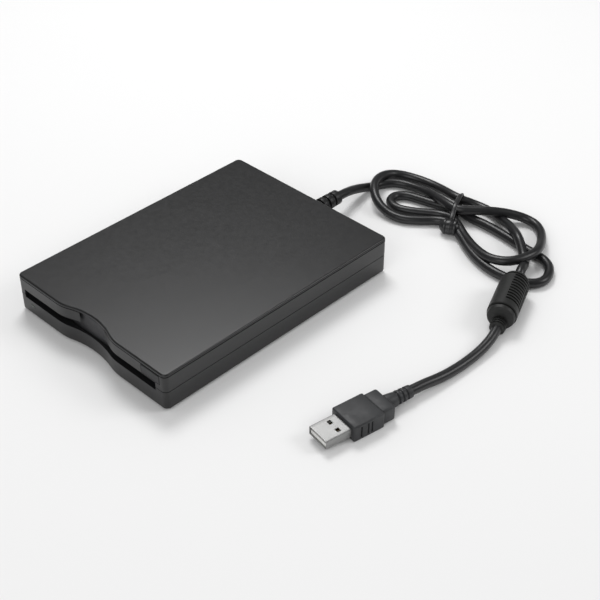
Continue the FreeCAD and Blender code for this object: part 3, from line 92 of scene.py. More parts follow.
class Shading:
    """One material's nodes, with a short call for each kind that the finishes use."""

    def __init__(self, name: str) -> None:
        """Start a material with a Principled surface and the piece's own coordinates.

        Args:
            name: Name of the material.
        """
        self.material = bpy.data.materials.new(name)
        self.material.use_nodes = True
        self.tree = self.material.node_tree
        self.surface = self.tree.nodes["Principled BSDF"]
        self.place = self.add("ShaderNodeTexCoord").outputs["Object"]

    def add(self, kind: str, **settings: object) -> bpy.types.Node:
        """Add a node.

        Args:
            kind: Blender's name of the node type.
            **settings: Properties to set on it.

        Returns:
            The new node.
        """
        node = self.tree.nodes.new(kind)
        for name, value in settings.items():
            setattr(node, name, value)
        return node

    def join(self, source: Socket, target: Socket) -> None:
        """Link an output to an input."""
        self.tree.links.new(source, target)

    def spread(self, scale: Point) -> Socket:
        """Coordinates scaled by a factor along each axis.

        Args:
            scale: The three factors.

        Returns:
            The scaled coordinates.
        """
        mapping = self.add("ShaderNodeMapping")
        mapping.inputs["Scale"].default_value = scale
        self.join(self.place, mapping.inputs["Vector"])
        return mapping.outputs["Vector"]

    def noise(self, spots_per_mm: float, detail: float = 2.0, place: Socket | None = None) -> Socket:
        """Noise of a given fineness.

        Args:
            spots_per_mm: Noise cells per millimetre.
            detail: Octaves.
            place: Coordinates to read, the piece's own if left out.

        Returns:
            The noise factor.
        """
        node = self.add("ShaderNodeTexNoise")
        node.inputs["Scale"].default_value = spots_per_mm / MM
        node.inputs["Detail"].default_value = detail
        self.join(place or self.place, node.inputs["Vector"])
        return node.outputs["Fac"]

    def cells(self, per_mm: float) -> Socket:
        """Voronoi cells of a given fineness, as distances.

        Args:
            per_mm: Cells per millimetre.

        Returns:
            Distance to the nearest cell's middle.
        """
        node = self.add("ShaderNodeTexVoronoi", feature="F1")
        node.inputs["Scale"].default_value = per_mm / MM
        self.join(self.place, node.inputs["Vector"])
        return node.outputs["Distance"]

    def bands(self, per_mm: float, direction: str, distortion: float) -> Socket:
        """Straight bands across one axis.

        Args:
            per_mm: Bands per millimetre.
            direction: Axis that the bands follow one another along.
            distortion: Waviness of the bands.

        Returns:
            The band factor.
        """
        node = self.add("ShaderNodeTexWave", bands_direction=direction)
        node.inputs["Scale"].default_value = per_mm / MM * math.pi / 10  # scale 1 gives 10 / pi bands a metre
        node.inputs["Distortion"].default_value = distortion
        self.join(self.place, node.inputs["Vector"])
        return node.outputs["Fac"]

    def ranged(self, value: Socket, source: Pair, target: Pair) -> Socket:
        """Carry a factor's range over to another range, clamped.

        Args:
            value: The factor.
            source: Its low and high ends.
            target: What those ends become.

        Returns:
            The new value.
        """
        node = self.add("ShaderNodeMapRange")
        self.join(value, node.inputs["Value"])
        for name, number in zip(("From Min", "From Max", "To Min", "To Max"), (*source, *target)):
            node.inputs[name].default_value = number
        return node.outputs["Result"]

    def blend(self, factor: Socket, below: Socket | Colour, tone: Colour) -> Socket:
        """Lay a tone over a colour by a factor.

        Args:
            factor: Share of the tone.
            below: Colour that it lies on, from a node or plain.
            tone: The tone.

        Returns:
            The mixed colour.
        """
        node = self.add("ShaderNodeMix", data_type="RGBA")
        self.join(factor, node.inputs["Factor"])
        if isinstance(below, tuple):
            node.inputs["A"].default_value = (*below, 1)
        else:
            self.join(below, node.inputs["A"])
        node.inputs["B"].default_value = (*tone, 1)
        return node.outputs["Result"]

    def relief(
        self, height: Socket, depth_mm: float, strength: float, below: Socket | None = None
    ) -> Socket:
        """Bump from a height.

        Args:
            height: Height factor.
            depth_mm: Depth of the relief in millimetres.
            strength: Share of it that shows.
            below: Normal of a coarser relief under it.

        Returns:
            The bumped normal.
        """
        node = self.add("ShaderNodeBump")
        node.inputs["Distance"].default_value = depth_mm * MM
        node.inputs["Strength"].default_value = strength
        self.join(height, node.inputs["Height"])
        if below is not None:
            self.join(below, node.inputs["Normal"])
        return node.outputs["Normal"]

    def dress(
        self, colour: Socket, roughness: Socket, normal: Socket | None = None, **plain: float
    ) -> bpy.types.Material:
        """Join the surface's inputs and set its plain ones.

        Args:
            colour: Base colour.
            roughness: Roughness.
            normal: Bumped normal.
            **plain: Sockets set to one number, with spaces written as underscores.

        Returns:
            The finished material.
        """
        self.join(colour, self.surface.inputs["Base Color"])
        self.join(roughness, self.surface.inputs["Roughness"])
        if normal is not None:
            self.join(normal, self.surface.inputs["Normal"])
        for name, number in plain.items():
            self.surface.inputs[name.replace("_", " ")].default_value = number
        return self.material


@dataclass(frozen=True)
class Moulded:
    """Moulded plastic or rubber: fine grain, slight tone change and uneven gloss."""

    name: str
    tone: Colour
    mottle: float
    roughness: Pair
    grain_per_mm: float
    grain_depth: float
    flow_depth: float
    specular: float

    def make(self) -> bpy.types.Material:
        """Build the material.

        Returns:
            The material.
        """
        s = Shading(self.name)
        flow = s.noise(0.05, detail=3.0)
        grain = s.noise(self.grain_per_mm)
        light = tuple(c * (1 + self.mottle) for c in self.tone)
        deep = tuple(c * (1 - self.mottle) for c in self.tone)
        colour = s.blend(s.ranged(flow, NOISE_CORE, FULL), deep, light)
        rough = s.ranged(s.noise(0.4, detail=4.0), NOISE_SPAN, self.roughness)
        waves = s.relief(s.noise(0.08), self.flow_depth, strength=0.4)
        normal = s.relief(grain, self.grain_depth, strength=0.6, below=waves)
        return s.dress(colour, rough, normal, Specular_IOR_Level=self.specular)


@dataclass(frozen=True)
class Sheath:
    """Extruded cord sheath: fine drawn skin with slow waves from coiling."""

    name: str
    tone: Colour
    roughness: Pair
    specular: float

    def make(self) -> bpy.types.Material:
        """Build the material.

        Returns:
            The material.
        """
        s = Shading(self.name)
        light = tuple(c * 1.5 for c in self.tone)
        colour = s.blend(s.ranged(s.noise(0.12, detail=3.0), NOISE_CORE, FULL), self.tone, light)
        rough = s.ranged(s.noise(0.6, detail=3.0), NOISE_SPAN, self.roughness)
        waves = s.relief(s.noise(0.16, detail=1.0), depth_mm=0.06, strength=0.5)
        normal = s.relief(s.noise(2.2, detail=3.0), depth_mm=0.006, strength=0.5, below=waves)
        return s.dress(colour, rough, normal, Specular_IOR_Level=self.specular)


class MetalGrain(Enum):
    """How a metal's surface was left by its making."""

    DRAWN = "drawn"
    TURNED = "turned"
    PLATED = "plated"
    SPANGLED = "spangled"


@dataclass(frozen=True)
class Metal:
    """Bare or plated metal with the marks of its making."""

    name: str
    tone: Colour
    grain: MetalGrain
    roughness: Pair
    tarnish: float = 0.12

    def stretch(self) -> Point:
        """Scale of the noise that gives the grain its direction.

        Returns:
            Factors along the three axes.
        """
        return {
            MetalGrain.DRAWN: (1.0, 0.06, 1.0),
            MetalGrain.TURNED: (1.0, 0.08, 1.0),
            MetalGrain.PLATED: (1.0, 1.0, 1.0),
            MetalGrain.SPANGLED: (1.0, 1.0, 1.0),
        }[self.grain]

    def make(self) -> bpy.types.Material:
        """Build the material.

        Returns:
            The material.
        """
        s = Shading(self.name)
        marks = s.noise(6.0, detail=3.0, place=s.spread(self.stretch()))
        dull = tuple(c * (1 - self.tarnish * 2) for c in self.tone)
        patches = s.cells(0.35) if self.grain is MetalGrain.SPANGLED else s.noise(0.3, detail=4.0)
        colour = s.blend(s.ranged(patches, (0.25, 0.75), FULL), self.tone, dull)
        rough = s.ranged(marks, NOISE_SPAN, self.roughness)
        waves = s.relief(s.noise(0.2), depth_mm=0.02, strength=0.3)
        normal = s.relief(marks, depth_mm=0.004, strength=0.5, below=waves)
        return s.dress(colour, rough, normal, Metallic=1.0)


@dataclass(frozen=True)
class Board:
    """Printed circuit board: green mask over copper tracks, with bare pads."""

    name: str
    mask: Colour = (0.012, 0.11, 0.05)
    track: Colour = (0.03, 0.22, 0.09)
    pad: Colour = (0.62, 0.6, 0.52)
    pad_edge: Pair = (0.24, 0.2)  # from the outside in

    def make(self) -> bpy.types.Material:
        """Build the material.

        Returns:
            The material.
        """
        s = Shading(self.name)
        across = s.ranged(s.bands(0.9, "X", distortion=2.5), (0.55, 0.6), FULL)
        along = s.ranged(s.bands(0.7, "Y", distortion=3.5), (0.62, 0.67), FULL)
        tracks = s.blend(across, self.mask, self.track)
        tracks = s.blend(along, tracks, self.track)
        spots = s.ranged(s.cells(0.45), self.pad_edge, FULL)
        colour = s.blend(spots, tracks, self.pad)
        rough = s.ranged(s.noise(1.0), NOISE_SPAN, (0.25, 0.4))
        raised = s.relief(along, depth_mm=0.03, strength=0.5)
        normal = s.relief(across, depth_mm=0.03, strength=0.5, below=raised)
        return s.dress(colour, rough, normal, Specular_IOR_Level=0.5)


@dataclass(frozen=True)
class Clear:
    """Cloudy light-guide plastic."""

    name: str
    tone: Colour

    def make(self) -> bpy.types.Material:
        """Build the material.

        Returns:
            The material.
        """
        s = Shading(self.name)
        dull = tuple(c * 0.7 for c in self.tone)
        colour = s.blend(s.noise(0.8), self.tone, dull)
        rough = s.ranged(s.noise(2.0), NOISE_SPAN, (0.12, 0.25))
        normal = s.relief(s.noise(1.5), depth_mm=0.01, strength=0.4)
        return s.dress(colour, rough, normal, Transmission_Weight=0.35, IOR=1.49)


@dataclass(frozen=True)
class Floor:
    """Matt pale table, seen through from below."""

    name: str
    tone: Colour

    def make(self) -> bpy.types.Material:
        """Build the material.

        Returns:
            The material.
        """
        s = Shading(self.name)
        shade = tuple(c * 0.99 for c in self.tone)
        colour = s.blend(s.noise(0.004), shade, self.tone)
        rough = s.ranged(s.noise(0.01), NOISE_SPAN, (0.8, 0.9))
        s.dress(colour, rough, Specular_IOR_Level=0.1)
        mix = s.add("ShaderNodeMixShader")
        s.join(s.add("ShaderNodeNewGeometry").outputs["Backfacing"], mix.inputs["Fac"])
        s.join(s.surface.outputs["BSDF"], mix.inputs[1])
        s.join(s.add("ShaderNodeBsdfTransparent").outputs["BSDF"], mix.inputs[2])
        s.join(mix.outputs["Shader"], s.tree.nodes["Material Output"].inputs["Surface"])
        return s.material


FINISHES = {
    finish.name: finish.make()
    for finish in (
        Moulded("casing_black", (0.0095, 0.0095, 0.01), 0.1, (0.3, 0.35), 3.0, 0.004, 0.01, 0.5),
        Moulded("button_black", (0.02, 0.02, 0.021), 0.15, (0.4, 0.5), 4.0, 0.008, 0.01, 0.4),
        Moulded("door_black", (0.024, 0.024, 0.026), 0.15, (0.42, 0.52), 3.0, 0.01, 0.02, 0.4),
        Moulded("foot_rubber", (0.03, 0.03, 0.03), 0.2, (0.6, 0.8), 2.0, 0.03, 0.02, 0.3),
        Moulded("bead_moulding", (0.0105, 0.011, 0.0103), 0.25, (0.46, 0.58), 2.0, 0.014, 0.03, 0.42),
        Moulded("plug_moulding", (0.03, 0.031, 0.033), 0.15, (0.42, 0.55), 3.0, 0.012, 0.02, 0.4),
        Moulded("relief_moulding", (0.01, 0.01, 0.0105), 0.2, (0.4, 0.5), 3.0, 0.01, 0.02, 0.4),
        Moulded("tie_plastic", (0.014, 0.014, 0.015), 0.2, (0.3, 0.4), 3.0, 0.01, 0.03, 0.5),
        Moulded("inner_black", (0.025, 0.025, 0.026), 0.2, (0.45, 0.6), 2.0, 0.01, 0.02, 0.4),
        Moulded("chip_epoxy", (0.015, 0.015, 0.016), 0.3, (0.5, 0.65), 5.0, 0.01, 0.01, 0.4),
        Moulded("nylon_white", (0.72, 0.69, 0.6), 0.05, (0.35, 0.5), 3.0, 0.01, 0.02, 0.5),
        Moulded("tongue_white", (0.7, 0.7, 0.68), 0.05, (0.35, 0.45), 3.0, 0.01, 0.02, 0.5),
        Moulded("ribbon_film", (0.75, 0.75, 0.74), 0.04, (0.3, 0.4), 1.0, 0.02, 0.05, 0.5),
        Moulded("magnet_ferrite", (0.05, 0.048, 0.046), 0.2, (0.55, 0.7), 5.0, 0.02, 0.01, 0.3),
        Moulded("bead_ferrite", (0.06, 0.058, 0.056), 0.2, (0.45, 0.6), 4.0, 0.02, 0.01, 0.5),
        Moulded("head_ceramic", (0.07, 0.068, 0.066), 0.2, (0.12, 0.2), 2.0, 0.002, 0.005, 0.6),
        Sheath("cord_sheath", (0.0085, 0.0086, 0.0093), (0.32, 0.4), 0.5),
        Metal("screw_zinc", (0.55, 0.56, 0.57), MetalGrain.PLATED, (0.25, 0.4)),
        Metal("spring_wire", (0.6, 0.6, 0.6), MetalGrain.DRAWN, (0.2, 0.35)),
        Metal("sheet_zinc", (0.54, 0.55, 0.55), MetalGrain.SPANGLED, (0.32, 0.46), 0.07),
        Metal("turned_steel", (0.62, 0.62, 0.62), MetalGrain.TURNED, (0.15, 0.3)),
        Metal("copper_winding", (0.65, 0.3, 0.14), MetalGrain.DRAWN, (0.25, 0.4)),
        Metal("bronze_bush", (0.55, 0.38, 0.18), MetalGrain.PLATED, (0.35, 0.5)),
        Metal("plug_nickel", (0.36, 0.36, 0.356), MetalGrain.PLATED, (0.42, 0.55), 0.05),
        Metal("contact_gold", (0.85, 0.62, 0.25), MetalGrain.DRAWN, (0.2, 0.3)),
        Board("board_mask"),
        Clear("light_guide", (0.03, 0.05, 0.035)),
        Floor("table_matt", (0.8, 0.8, 0.8)),
    )
}


# ---- Mesh making --------------------------------------------------------------------------------


def is_near(value: float, target: float) -> bool:
    """True for a place within a hundredth of a millimetre of another."""
    return abs(value - target) < 0.01


def points_of(geometry: Iterable[object]) -> list[bmesh.types.BMVert]:
    """The vertices among an operator's new geometry."""
    return [g for g in geometry if isinstance(g, bmesh.types.BMVert)]


def edges_of(points: Iterable[bmesh.types.BMVert]) -> list[bmesh.types.BMEdge]:
    """The edges at some vertices, each once and always in the same order."""
    return list(dict.fromkeys(e for v in points for e in v.link_edges))


def laid(at: Point, degrees: float) -> Matrix:
    """Place at a point, turned about the upright."""
    return Matrix.Translation(at) @ Matrix.Rotation(math.radians(degrees), 4, "Z")


@dataclass(frozen=True)
class Winding:
    """A helix of round wire, with the radii of its middle line and of the wire."""

    radius: float
    wire: float
    turns: float
    steps: int  # in a turn
    sides: int  # of the wire


class Form:
    """A mesh being shaped with bmesh operators, in millimetres."""

    SHARP = 1.0  # radians between the two faces of a fold
    RING_SHARP = 0.6
    WIRE_SIDES = 8

    def __init__(self) -> None:
        """Start an empty mesh."""
        self.bm = bmesh.new()

    def block(
        self, low: Point, high: Point, rounding: float = 0.0, segments: int = 2
    ) -> list[bmesh.types.BMVert]:
        """Add a box with rounded edges.

        Args:
            low: Lowest corner.
            high: Highest corner.
            rounding: Width of the rounding on every edge.
            segments: Steps across the rounding.

        Returns:
            The box's corners, if it has no rounding.
        """
        made = bmesh.ops.create_cube(self.bm, size=1.0)["verts"]
        extent = [b - a for a, b in zip(low, high)]
        middle = [(a + b) / 2 for a, b in zip(low, high)]
        bmesh.ops.scale(self.bm, vec=extent, verts=made)
        bmesh.ops.translate(self.bm, vec=middle, verts=made)
        if rounding:
            self.bevel(edges_of(made), rounding, segments)
            return []
        return made

    def folds(self) -> list[bmesh.types.BMEdge]:
        """Edges where two faces meet at a sharp angle."""
        return [e for e in self.bm.edges if len(e.link_faces) == 2 and e.calc_face_angle(0) > self.SHARP]

    def bevel(self, edges: Iterable[bmesh.types.BMEdge], width: float, segments: int = 2) -> None:
        """Round edges off.

        Args:
            edges: Edges to round.
            width: Width of the rounding.
            segments: Steps across it.
        """
        bmesh.ops.bevel(
            self.bm, geom=list(edges), offset=width, offset_type="OFFSET", segments=segments,
            profile=0.5, affect="EDGES", material=-1, clamp_overlap=True,
        )

    def turned(
        self, profile: Sequence[Pair], centre: Point, axis: Axis, steps: int, rounding: float = 0.0
    ) -> None:
        """Add a piece turned from a profile of (radius, distance along the axis) corners.

        Args:
            profile: Corners from the one end of the axis to the other, or a closed loop.
            centre: Point that the distances are measured from.
            axis: Axis of the turning.
            steps: Steps round it.
            rounding: Width of the rounding on the profile's corners.
        """
        side = Axis.Z.value if axis is Axis.X else Axis.X.value
        base = Vector(centre)
        spots = [self.bm.verts.new(base + side * r + axis.value * d) for r, d in profile]
        edges = [self.bm.edges.new(pair) for pair in zip(spots, spots[1:])]
        if profile[0][0] > 0 or profile[-1][0] > 0:
            edges.append(self.bm.edges.new((spots[-1], spots[0])))
        bmesh.ops.spin(
            self.bm, geom=spots + edges, cent=base, axis=axis.value, angle=2 * math.pi,
            steps=steps, use_merge=True, use_duplicate=False,
        )
        bmesh.ops.remove_doubles(self.bm, verts=self.bm.verts[:], dist=MERGE)
        if rounding:
            rings = [e for e in self.bm.edges if self.is_ring(e, base, axis.value)]
            self.bevel(rings, rounding)

    def is_ring(self, edge: bmesh.types.BMEdge, base: Vector, axis: Vector) -> bool:
        """True for a folded edge that runs round the axis, not along or towards it.

        Args:
            edge: The edge.
            base: Point on the axis.
            axis: Direction of the axis.

        Returns:
            Whether it does.
        """
        if len(edge.link_faces) != 2 or edge.calc_face_angle(0) <= self.RING_SHARP:
            return False
        middle = (edge.verts[0].co + edge.verts[1].co) / 2 - base
        out = middle - axis * middle.dot(axis)
        along = (edge.verts[1].co - edge.verts[0].co).normalized()
        return abs(along.dot(axis)) < 0.1 and out.length > 1e-6 and abs(along.dot(out.normalized())) < 0.3

    def wire(self, start: Point, end: Point, radius: float) -> None:
        """Add a straight piece of round wire between two points.

        Args:
            start: One end.
            end: The other end.
            radius: Radius of the wire.
        """
        a, b = Vector(start), Vector(end)
        made = bmesh.ops.create_cone(
            self.bm, cap_ends=True, segments=self.WIRE_SIDES, radius1=radius, radius2=radius,
            depth=(b - a).length,
        )["verts"]
        turn = (b - a).to_track_quat("Z", "Y").to_matrix()
        bmesh.ops.rotate(self.bm, cent=(0, 0, 0), matrix=turn, verts=made)
        bmesh.ops.translate(self.bm, vec=(a + b) / 2, verts=made)

    def coil(self, centre: Point, axis: Axis, length: float, winding: Winding) -> None:
        """Add a helix of round wire with closed ends.

        Args:
            centre: Start of the helix on its axis.
            axis: Axis of the helix.
            length: Length along the axis.
            winding: Sizes of the helix.
        """
        side = Axis.Z.value if axis is Axis.X else Axis.X.value
        base = Vector(centre)
        ring = bmesh.ops.create_circle(
            self.bm, cap_ends=False, segments=winding.sides, radius=winding.wire
        )["verts"]
        turn = axis.value.cross(side).to_track_quat("Z", "Y").to_matrix()
        bmesh.ops.rotate(self.bm, cent=(0, 0, 0), matrix=turn, verts=ring)
        bmesh.ops.translate(self.bm, vec=base + side * winding.radius, verts=ring)
        count = round(winding.turns * winding.steps)
        bmesh.ops.spin(
            self.bm, geom=ring + edges_of(ring), cent=base, axis=axis.value,
            dvec=axis.value * (length / count), angle=2 * math.pi * winding.turns, steps=count,
            use_merge=False, use_duplicate=False,
        )
        rims = [e for e in self.bm.edges if e.is_boundary]
        bmesh.ops.holes_fill(self.bm, edges=rims, sides=0)

    def strip(self, line: Sequence[Point], shift: Point, thick: float, closed: bool = False) -> None:
        """Add a bent strip of one thickness.

        Args:
            line: Corners of its bent edge.
            shift: Way from that edge to the other.
            thick: Thickness.
            closed: True for a strip that meets itself.
        """
        spots = [self.bm.verts.new(at) for at in line]
        ends = spots[1:] + spots[:1] if closed else spots[1:]
        edges = [self.bm.edges.new(pair) for pair in zip(spots, ends)]
        made = bmesh.ops.extrude_edge_only(self.bm, edges=edges)["geom"]
        bmesh.ops.translate(self.bm, vec=shift, verts=points_of(made))
        if closed:
            bmesh.ops.recalc_face_normals(self.bm, faces=self.bm.faces[:])
        bmesh.ops.solidify(self.bm, geom=self.bm.faces[:], thickness=thick)

    def press(
        self, chosen: Callable[[bmesh.types.BMFace], bool], shift: Callable[[Vector], Vector]
    ) -> None:
        """Push faces in or out as one region, with walls where they leave their neighbours.

        Args:
            chosen: Test for a face that moves.
            shift: New place of a point of it.
        """
        faces = [f for f in self.bm.faces if chosen(f)]
        made = bmesh.ops.extrude_face_region(self.bm, geom=faces)
        bmesh.ops.delete(self.bm, geom=faces, context="FACES")
        for v in points_of(made["geom"]):
            v.co = shift(v.co)

    def drop(self, chosen: Callable[[Vector], bool]) -> None:
        """Take away the faces whose middles pass a test."""
        faces = [f for f in self.bm.faces if chosen(f.calc_center_median())]
        bmesh.ops.delete(self.bm, geom=faces, context="FACES")

    def slice(self, at: Point, normal: Point) -> None:
        """Cut all faces along a plane, and keep both halves."""
        everything = self.bm.verts[:] + self.bm.edges[:] + self.bm.faces[:]
        bmesh.ops.bisect_plane(self.bm, geom=everything, plane_co=at, plane_no=normal, dist=1e-5)

    def moved(self, place: Matrix) -> "Form":
        """Turn and shift all that is there, and return the form."""
        bmesh.ops.transform(self.bm, matrix=place, verts=self.bm.verts[:])
        return self

    def mesh(self, name: str, crease: float = 38.0) -> bpy.types.Mesh:
        """Close the work: clean, face outwards, scale to metres and mark the creases.

        Args:
            name: Name of the mesh.
            crease: Edges sharper than this, in degrees, stay crisp.

        Returns:
            The mesh.
        """
        bm = self.bm
        bmesh.ops.remove_doubles(bm, verts=bm.verts[:], dist=MERGE)
        bmesh.ops.recalc_face_normals(bm, faces=bm.faces[:])
        bmesh.ops.scale(bm, vec=(MM, MM, MM), verts=bm.verts[:])
        for f in bm.faces:
            f.smooth = True
        for e in bm.edges:
            e.smooth = len(e.link_faces) == 2 and e.calc_face_angle(0) < math.radians(crease)
        data = bpy.data.meshes.new(name)
        bm.to_mesh(data)
        bm.free()
        return data


def show(name: str, data: bpy.types.Mesh | bpy.types.Curve, finish: str) -> bpy.types.Object:
    """Put a finished mesh or curve in the scene with its material.

    Args:
        name: Name of the piece.
        data: Its mesh or curve.
        finish: Name of its finish.

    Returns:
        The object.
    """
    piece = bpy.data.objects.new(name, data)
    bpy.context.scene.collection.objects.link(piece)
    data.materials.clear()
    data.materials.append(FINISHES[finish])
    return piece


def fit(piece: bpy.types.Object, body: Body, slot: str, *nodes: str) -> bpy.types.Object:
    """Set a piece on its body, in place of the nodes it stands for.

    Args:
        piece: The piece.
        body: Body that it moves with.
        slot: The record's material slot; not used.
        *nodes: CAD nodes that it replaces.

    Returns:
        The piece.
    """
    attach(piece, body.value)
    if nodes:
        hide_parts(*nodes)
    log.info("%s stands for %s", piece.name, ", ".join(nodes) or "itself")
    return piece


def finished(
    form: Form, name: str, finish: str, body: Body, slot: str, *nodes: str, crease: float = 38.0
) -> bpy.types.Object:
    """Make a form into a dressed piece on its body, for nodes it replaces, crisp above the crease."""
    return fit(show(name, form.mesh(name, crease), finish), body, slot, *nodes)


def soften(piece: bpy.types.Object, levels: int) -> None:
    """Round a piece by even subdivision, the same in the view and in the render."""
    smooth = piece.modifiers.new("smooth", "SUBSURF")
    smooth.levels = smooth.render_levels = levels


def carry(finish: str, *names: str) -> None:
    """Give carried-over CAD nodes a finish.

    Args:
        finish: Name of the finish.
        *names: The nodes.
    """
    for name in names:
        data = NODES[name].data
        data.materials.clear()
        data.materials.append(FINISHES[finish])
        log.info("%s is dressed in %s", name, finish)


# ---- Camera and light ---------------------------------------------------------------------------


@dataclass
class Studio:
    """Camera, table, lamps and surroundings, in metres.

    A lamp has a name, degrees from +X towards +Y, degrees above the table, distance, width and watts.
    """

    eye: Point = (0.3678, -0.3135, 0.3694)
    aim: Point = (0.0378, 0.0251, 0.0)
    lens: float = 75.33
    table_half: float = 3.0
    ambient: float = 0.54
    backdrop: float = 0.85
    gleam: float = 0.17
    centre: Point = (0.03, 0.03, 0.0)
    lamps: tuple[tuple[str, float, float, float, float, float], ...] = (
        ("key", 147, 60, 0.95, 0.36, 4.5),
        ("fill", -76, 30, 1.3, 0.8, 4.4),
        ("rim", 42, 35, 1.1, 0.4, 2.6),
    )

    def camera(self) -> None:
        """Set up the camera."""
        data = bpy.data.cameras.new("camera")
        data.lens = self.lens
        data.sensor_width = 36.0
        data.clip_start = 0.01
        data.clip_end = 20.0
        held = bpy.data.objects.new("camera", data)
        bpy.context.scene.collection.objects.link(held)
        held.location = self.eye
        held.rotation_euler = (Vector(self.aim) - Vector(self.eye)).to_track_quat("-Z", "Y").to_euler()
        bpy.context.scene.camera = held

    def lamp(
        self, name: str, azimuth: float, elevation: float, distance: float, width: float, watts: float
    ) -> None:
        """Add a soft lamp that looks at the drive.

        Args:
            name: Name of the lamp.
            azimuth: Degrees from +X towards +Y.
            elevation: Degrees above the table.
            distance: Distance from the middle, in metres.
            width: Width of its square face.
            watts: Power.
        """
        data = bpy.data.lights.new(name, "AREA")
        data.shape = "SQUARE"
        data.size = width
        data.energy = watts
        held = bpy.data.objects.new(name, data)
        bpy.context.scene.collection.objects.link(held)
        a, e = math.radians(azimuth), math.radians(elevation)
        away = Vector((math.cos(a) * math.cos(e), math.sin(a) * math.cos(e), math.sin(e)))
        held.location = Vector(self.centre) + away * distance
        held.rotation_euler = (-away).to_track_quat("-Z", "Y").to_euler()

    def surroundings(self) -> None:
        """Even light from all round, with a pale backdrop for what looks straight at it."""
        world = bpy.data.worlds.new("studio")
        bpy.context.scene.world = world
        world.use_nodes = True
        tree = world.node_tree
        tree.nodes.clear()
        rays = tree.nodes.new("ShaderNodeLightPath")
        light = self.background(tree, self.ambient)
        for ray, strength in (("Is Glossy Ray", self.gleam), ("Is Camera Ray", self.backdrop),
                              ("Is Transmission Ray", self.backdrop)):
            mix = tree.nodes.new("ShaderNodeMixShader")
            tree.links.new(rays.outputs[ray], mix.inputs["Fac"])
            tree.links.new(light, mix.inputs[1])
            tree.links.new(self.background(tree, strength), mix.inputs[2])
            light = mix.outputs["Shader"]
        out = tree.nodes.new("ShaderNodeOutputWorld")
        tree.links.new(light, out.inputs["Surface"])

    @staticmethod
    def background(tree: bpy.types.NodeTree, strength: float) -> Socket:
        """Plain white surroundings of one strength.

        Args:
            tree: Nodes of the surroundings.
            strength: Their strength.

        Returns:
            The shader.
        """
        node = tree.nodes.new("ShaderNodeBackground")
        node.inputs["Color"].default_value = (1, 1, 1, 1)
        node.inputs["Strength"].default_value = strength
        return node.outputs["Background"]

    def table(self) -> None:
        """Lay the pale table."""
        bm = bmesh.new()
        bmesh.ops.create_grid(bm, x_segments=4, y_segments=4, size=self.table_half)
        data = bpy.data.meshes.new("table")
        bm.to_mesh(data)
        bm.free()
        top = show("table", data, "table_matt")

    def build(self) -> None:
        """Set up all of it."""
        bpy.context.scene.view_settings.view_transform = "Standard"
        self.camera()
        self.surroundings()
        self.table()
        for lamp in self.lamps:
            self.lamp(*lamp)
        log.info("studio is set")


# ---- Cord and what is on it ---------------------------------------------------------------------


def round_line(name: str, route: Sequence[Point], radius: float, steps: int, sides: int) -> bpy.types.Curve:
    """A smooth round line steered by a route of points.

    Args:
        name: Name of the curve.
        route: Control points of the line, in millimetres.
        radius: Radius of its round section, in metres.
        steps: Steps between two points.
        sides: Steps in a quarter of the section.

    Returns:
        The curve, with closed ends.
    """
    data = bpy.data.curves.new(name, "CURVE")
    data.dimensions = "3D"
    line = data.splines.new("NURBS")
    line.points.add(len(route) - 1)
    for spot, place in zip(line.points, route):
        spot.co = (*(c * MM for c in place), 1)
    line.order_u = 3
    line.use_endpoint_u = True
    line.resolution_u = steps
    data.bevel_depth = radius
    data.bevel_resolution = sides
    data.use_fill_caps = True
    return data


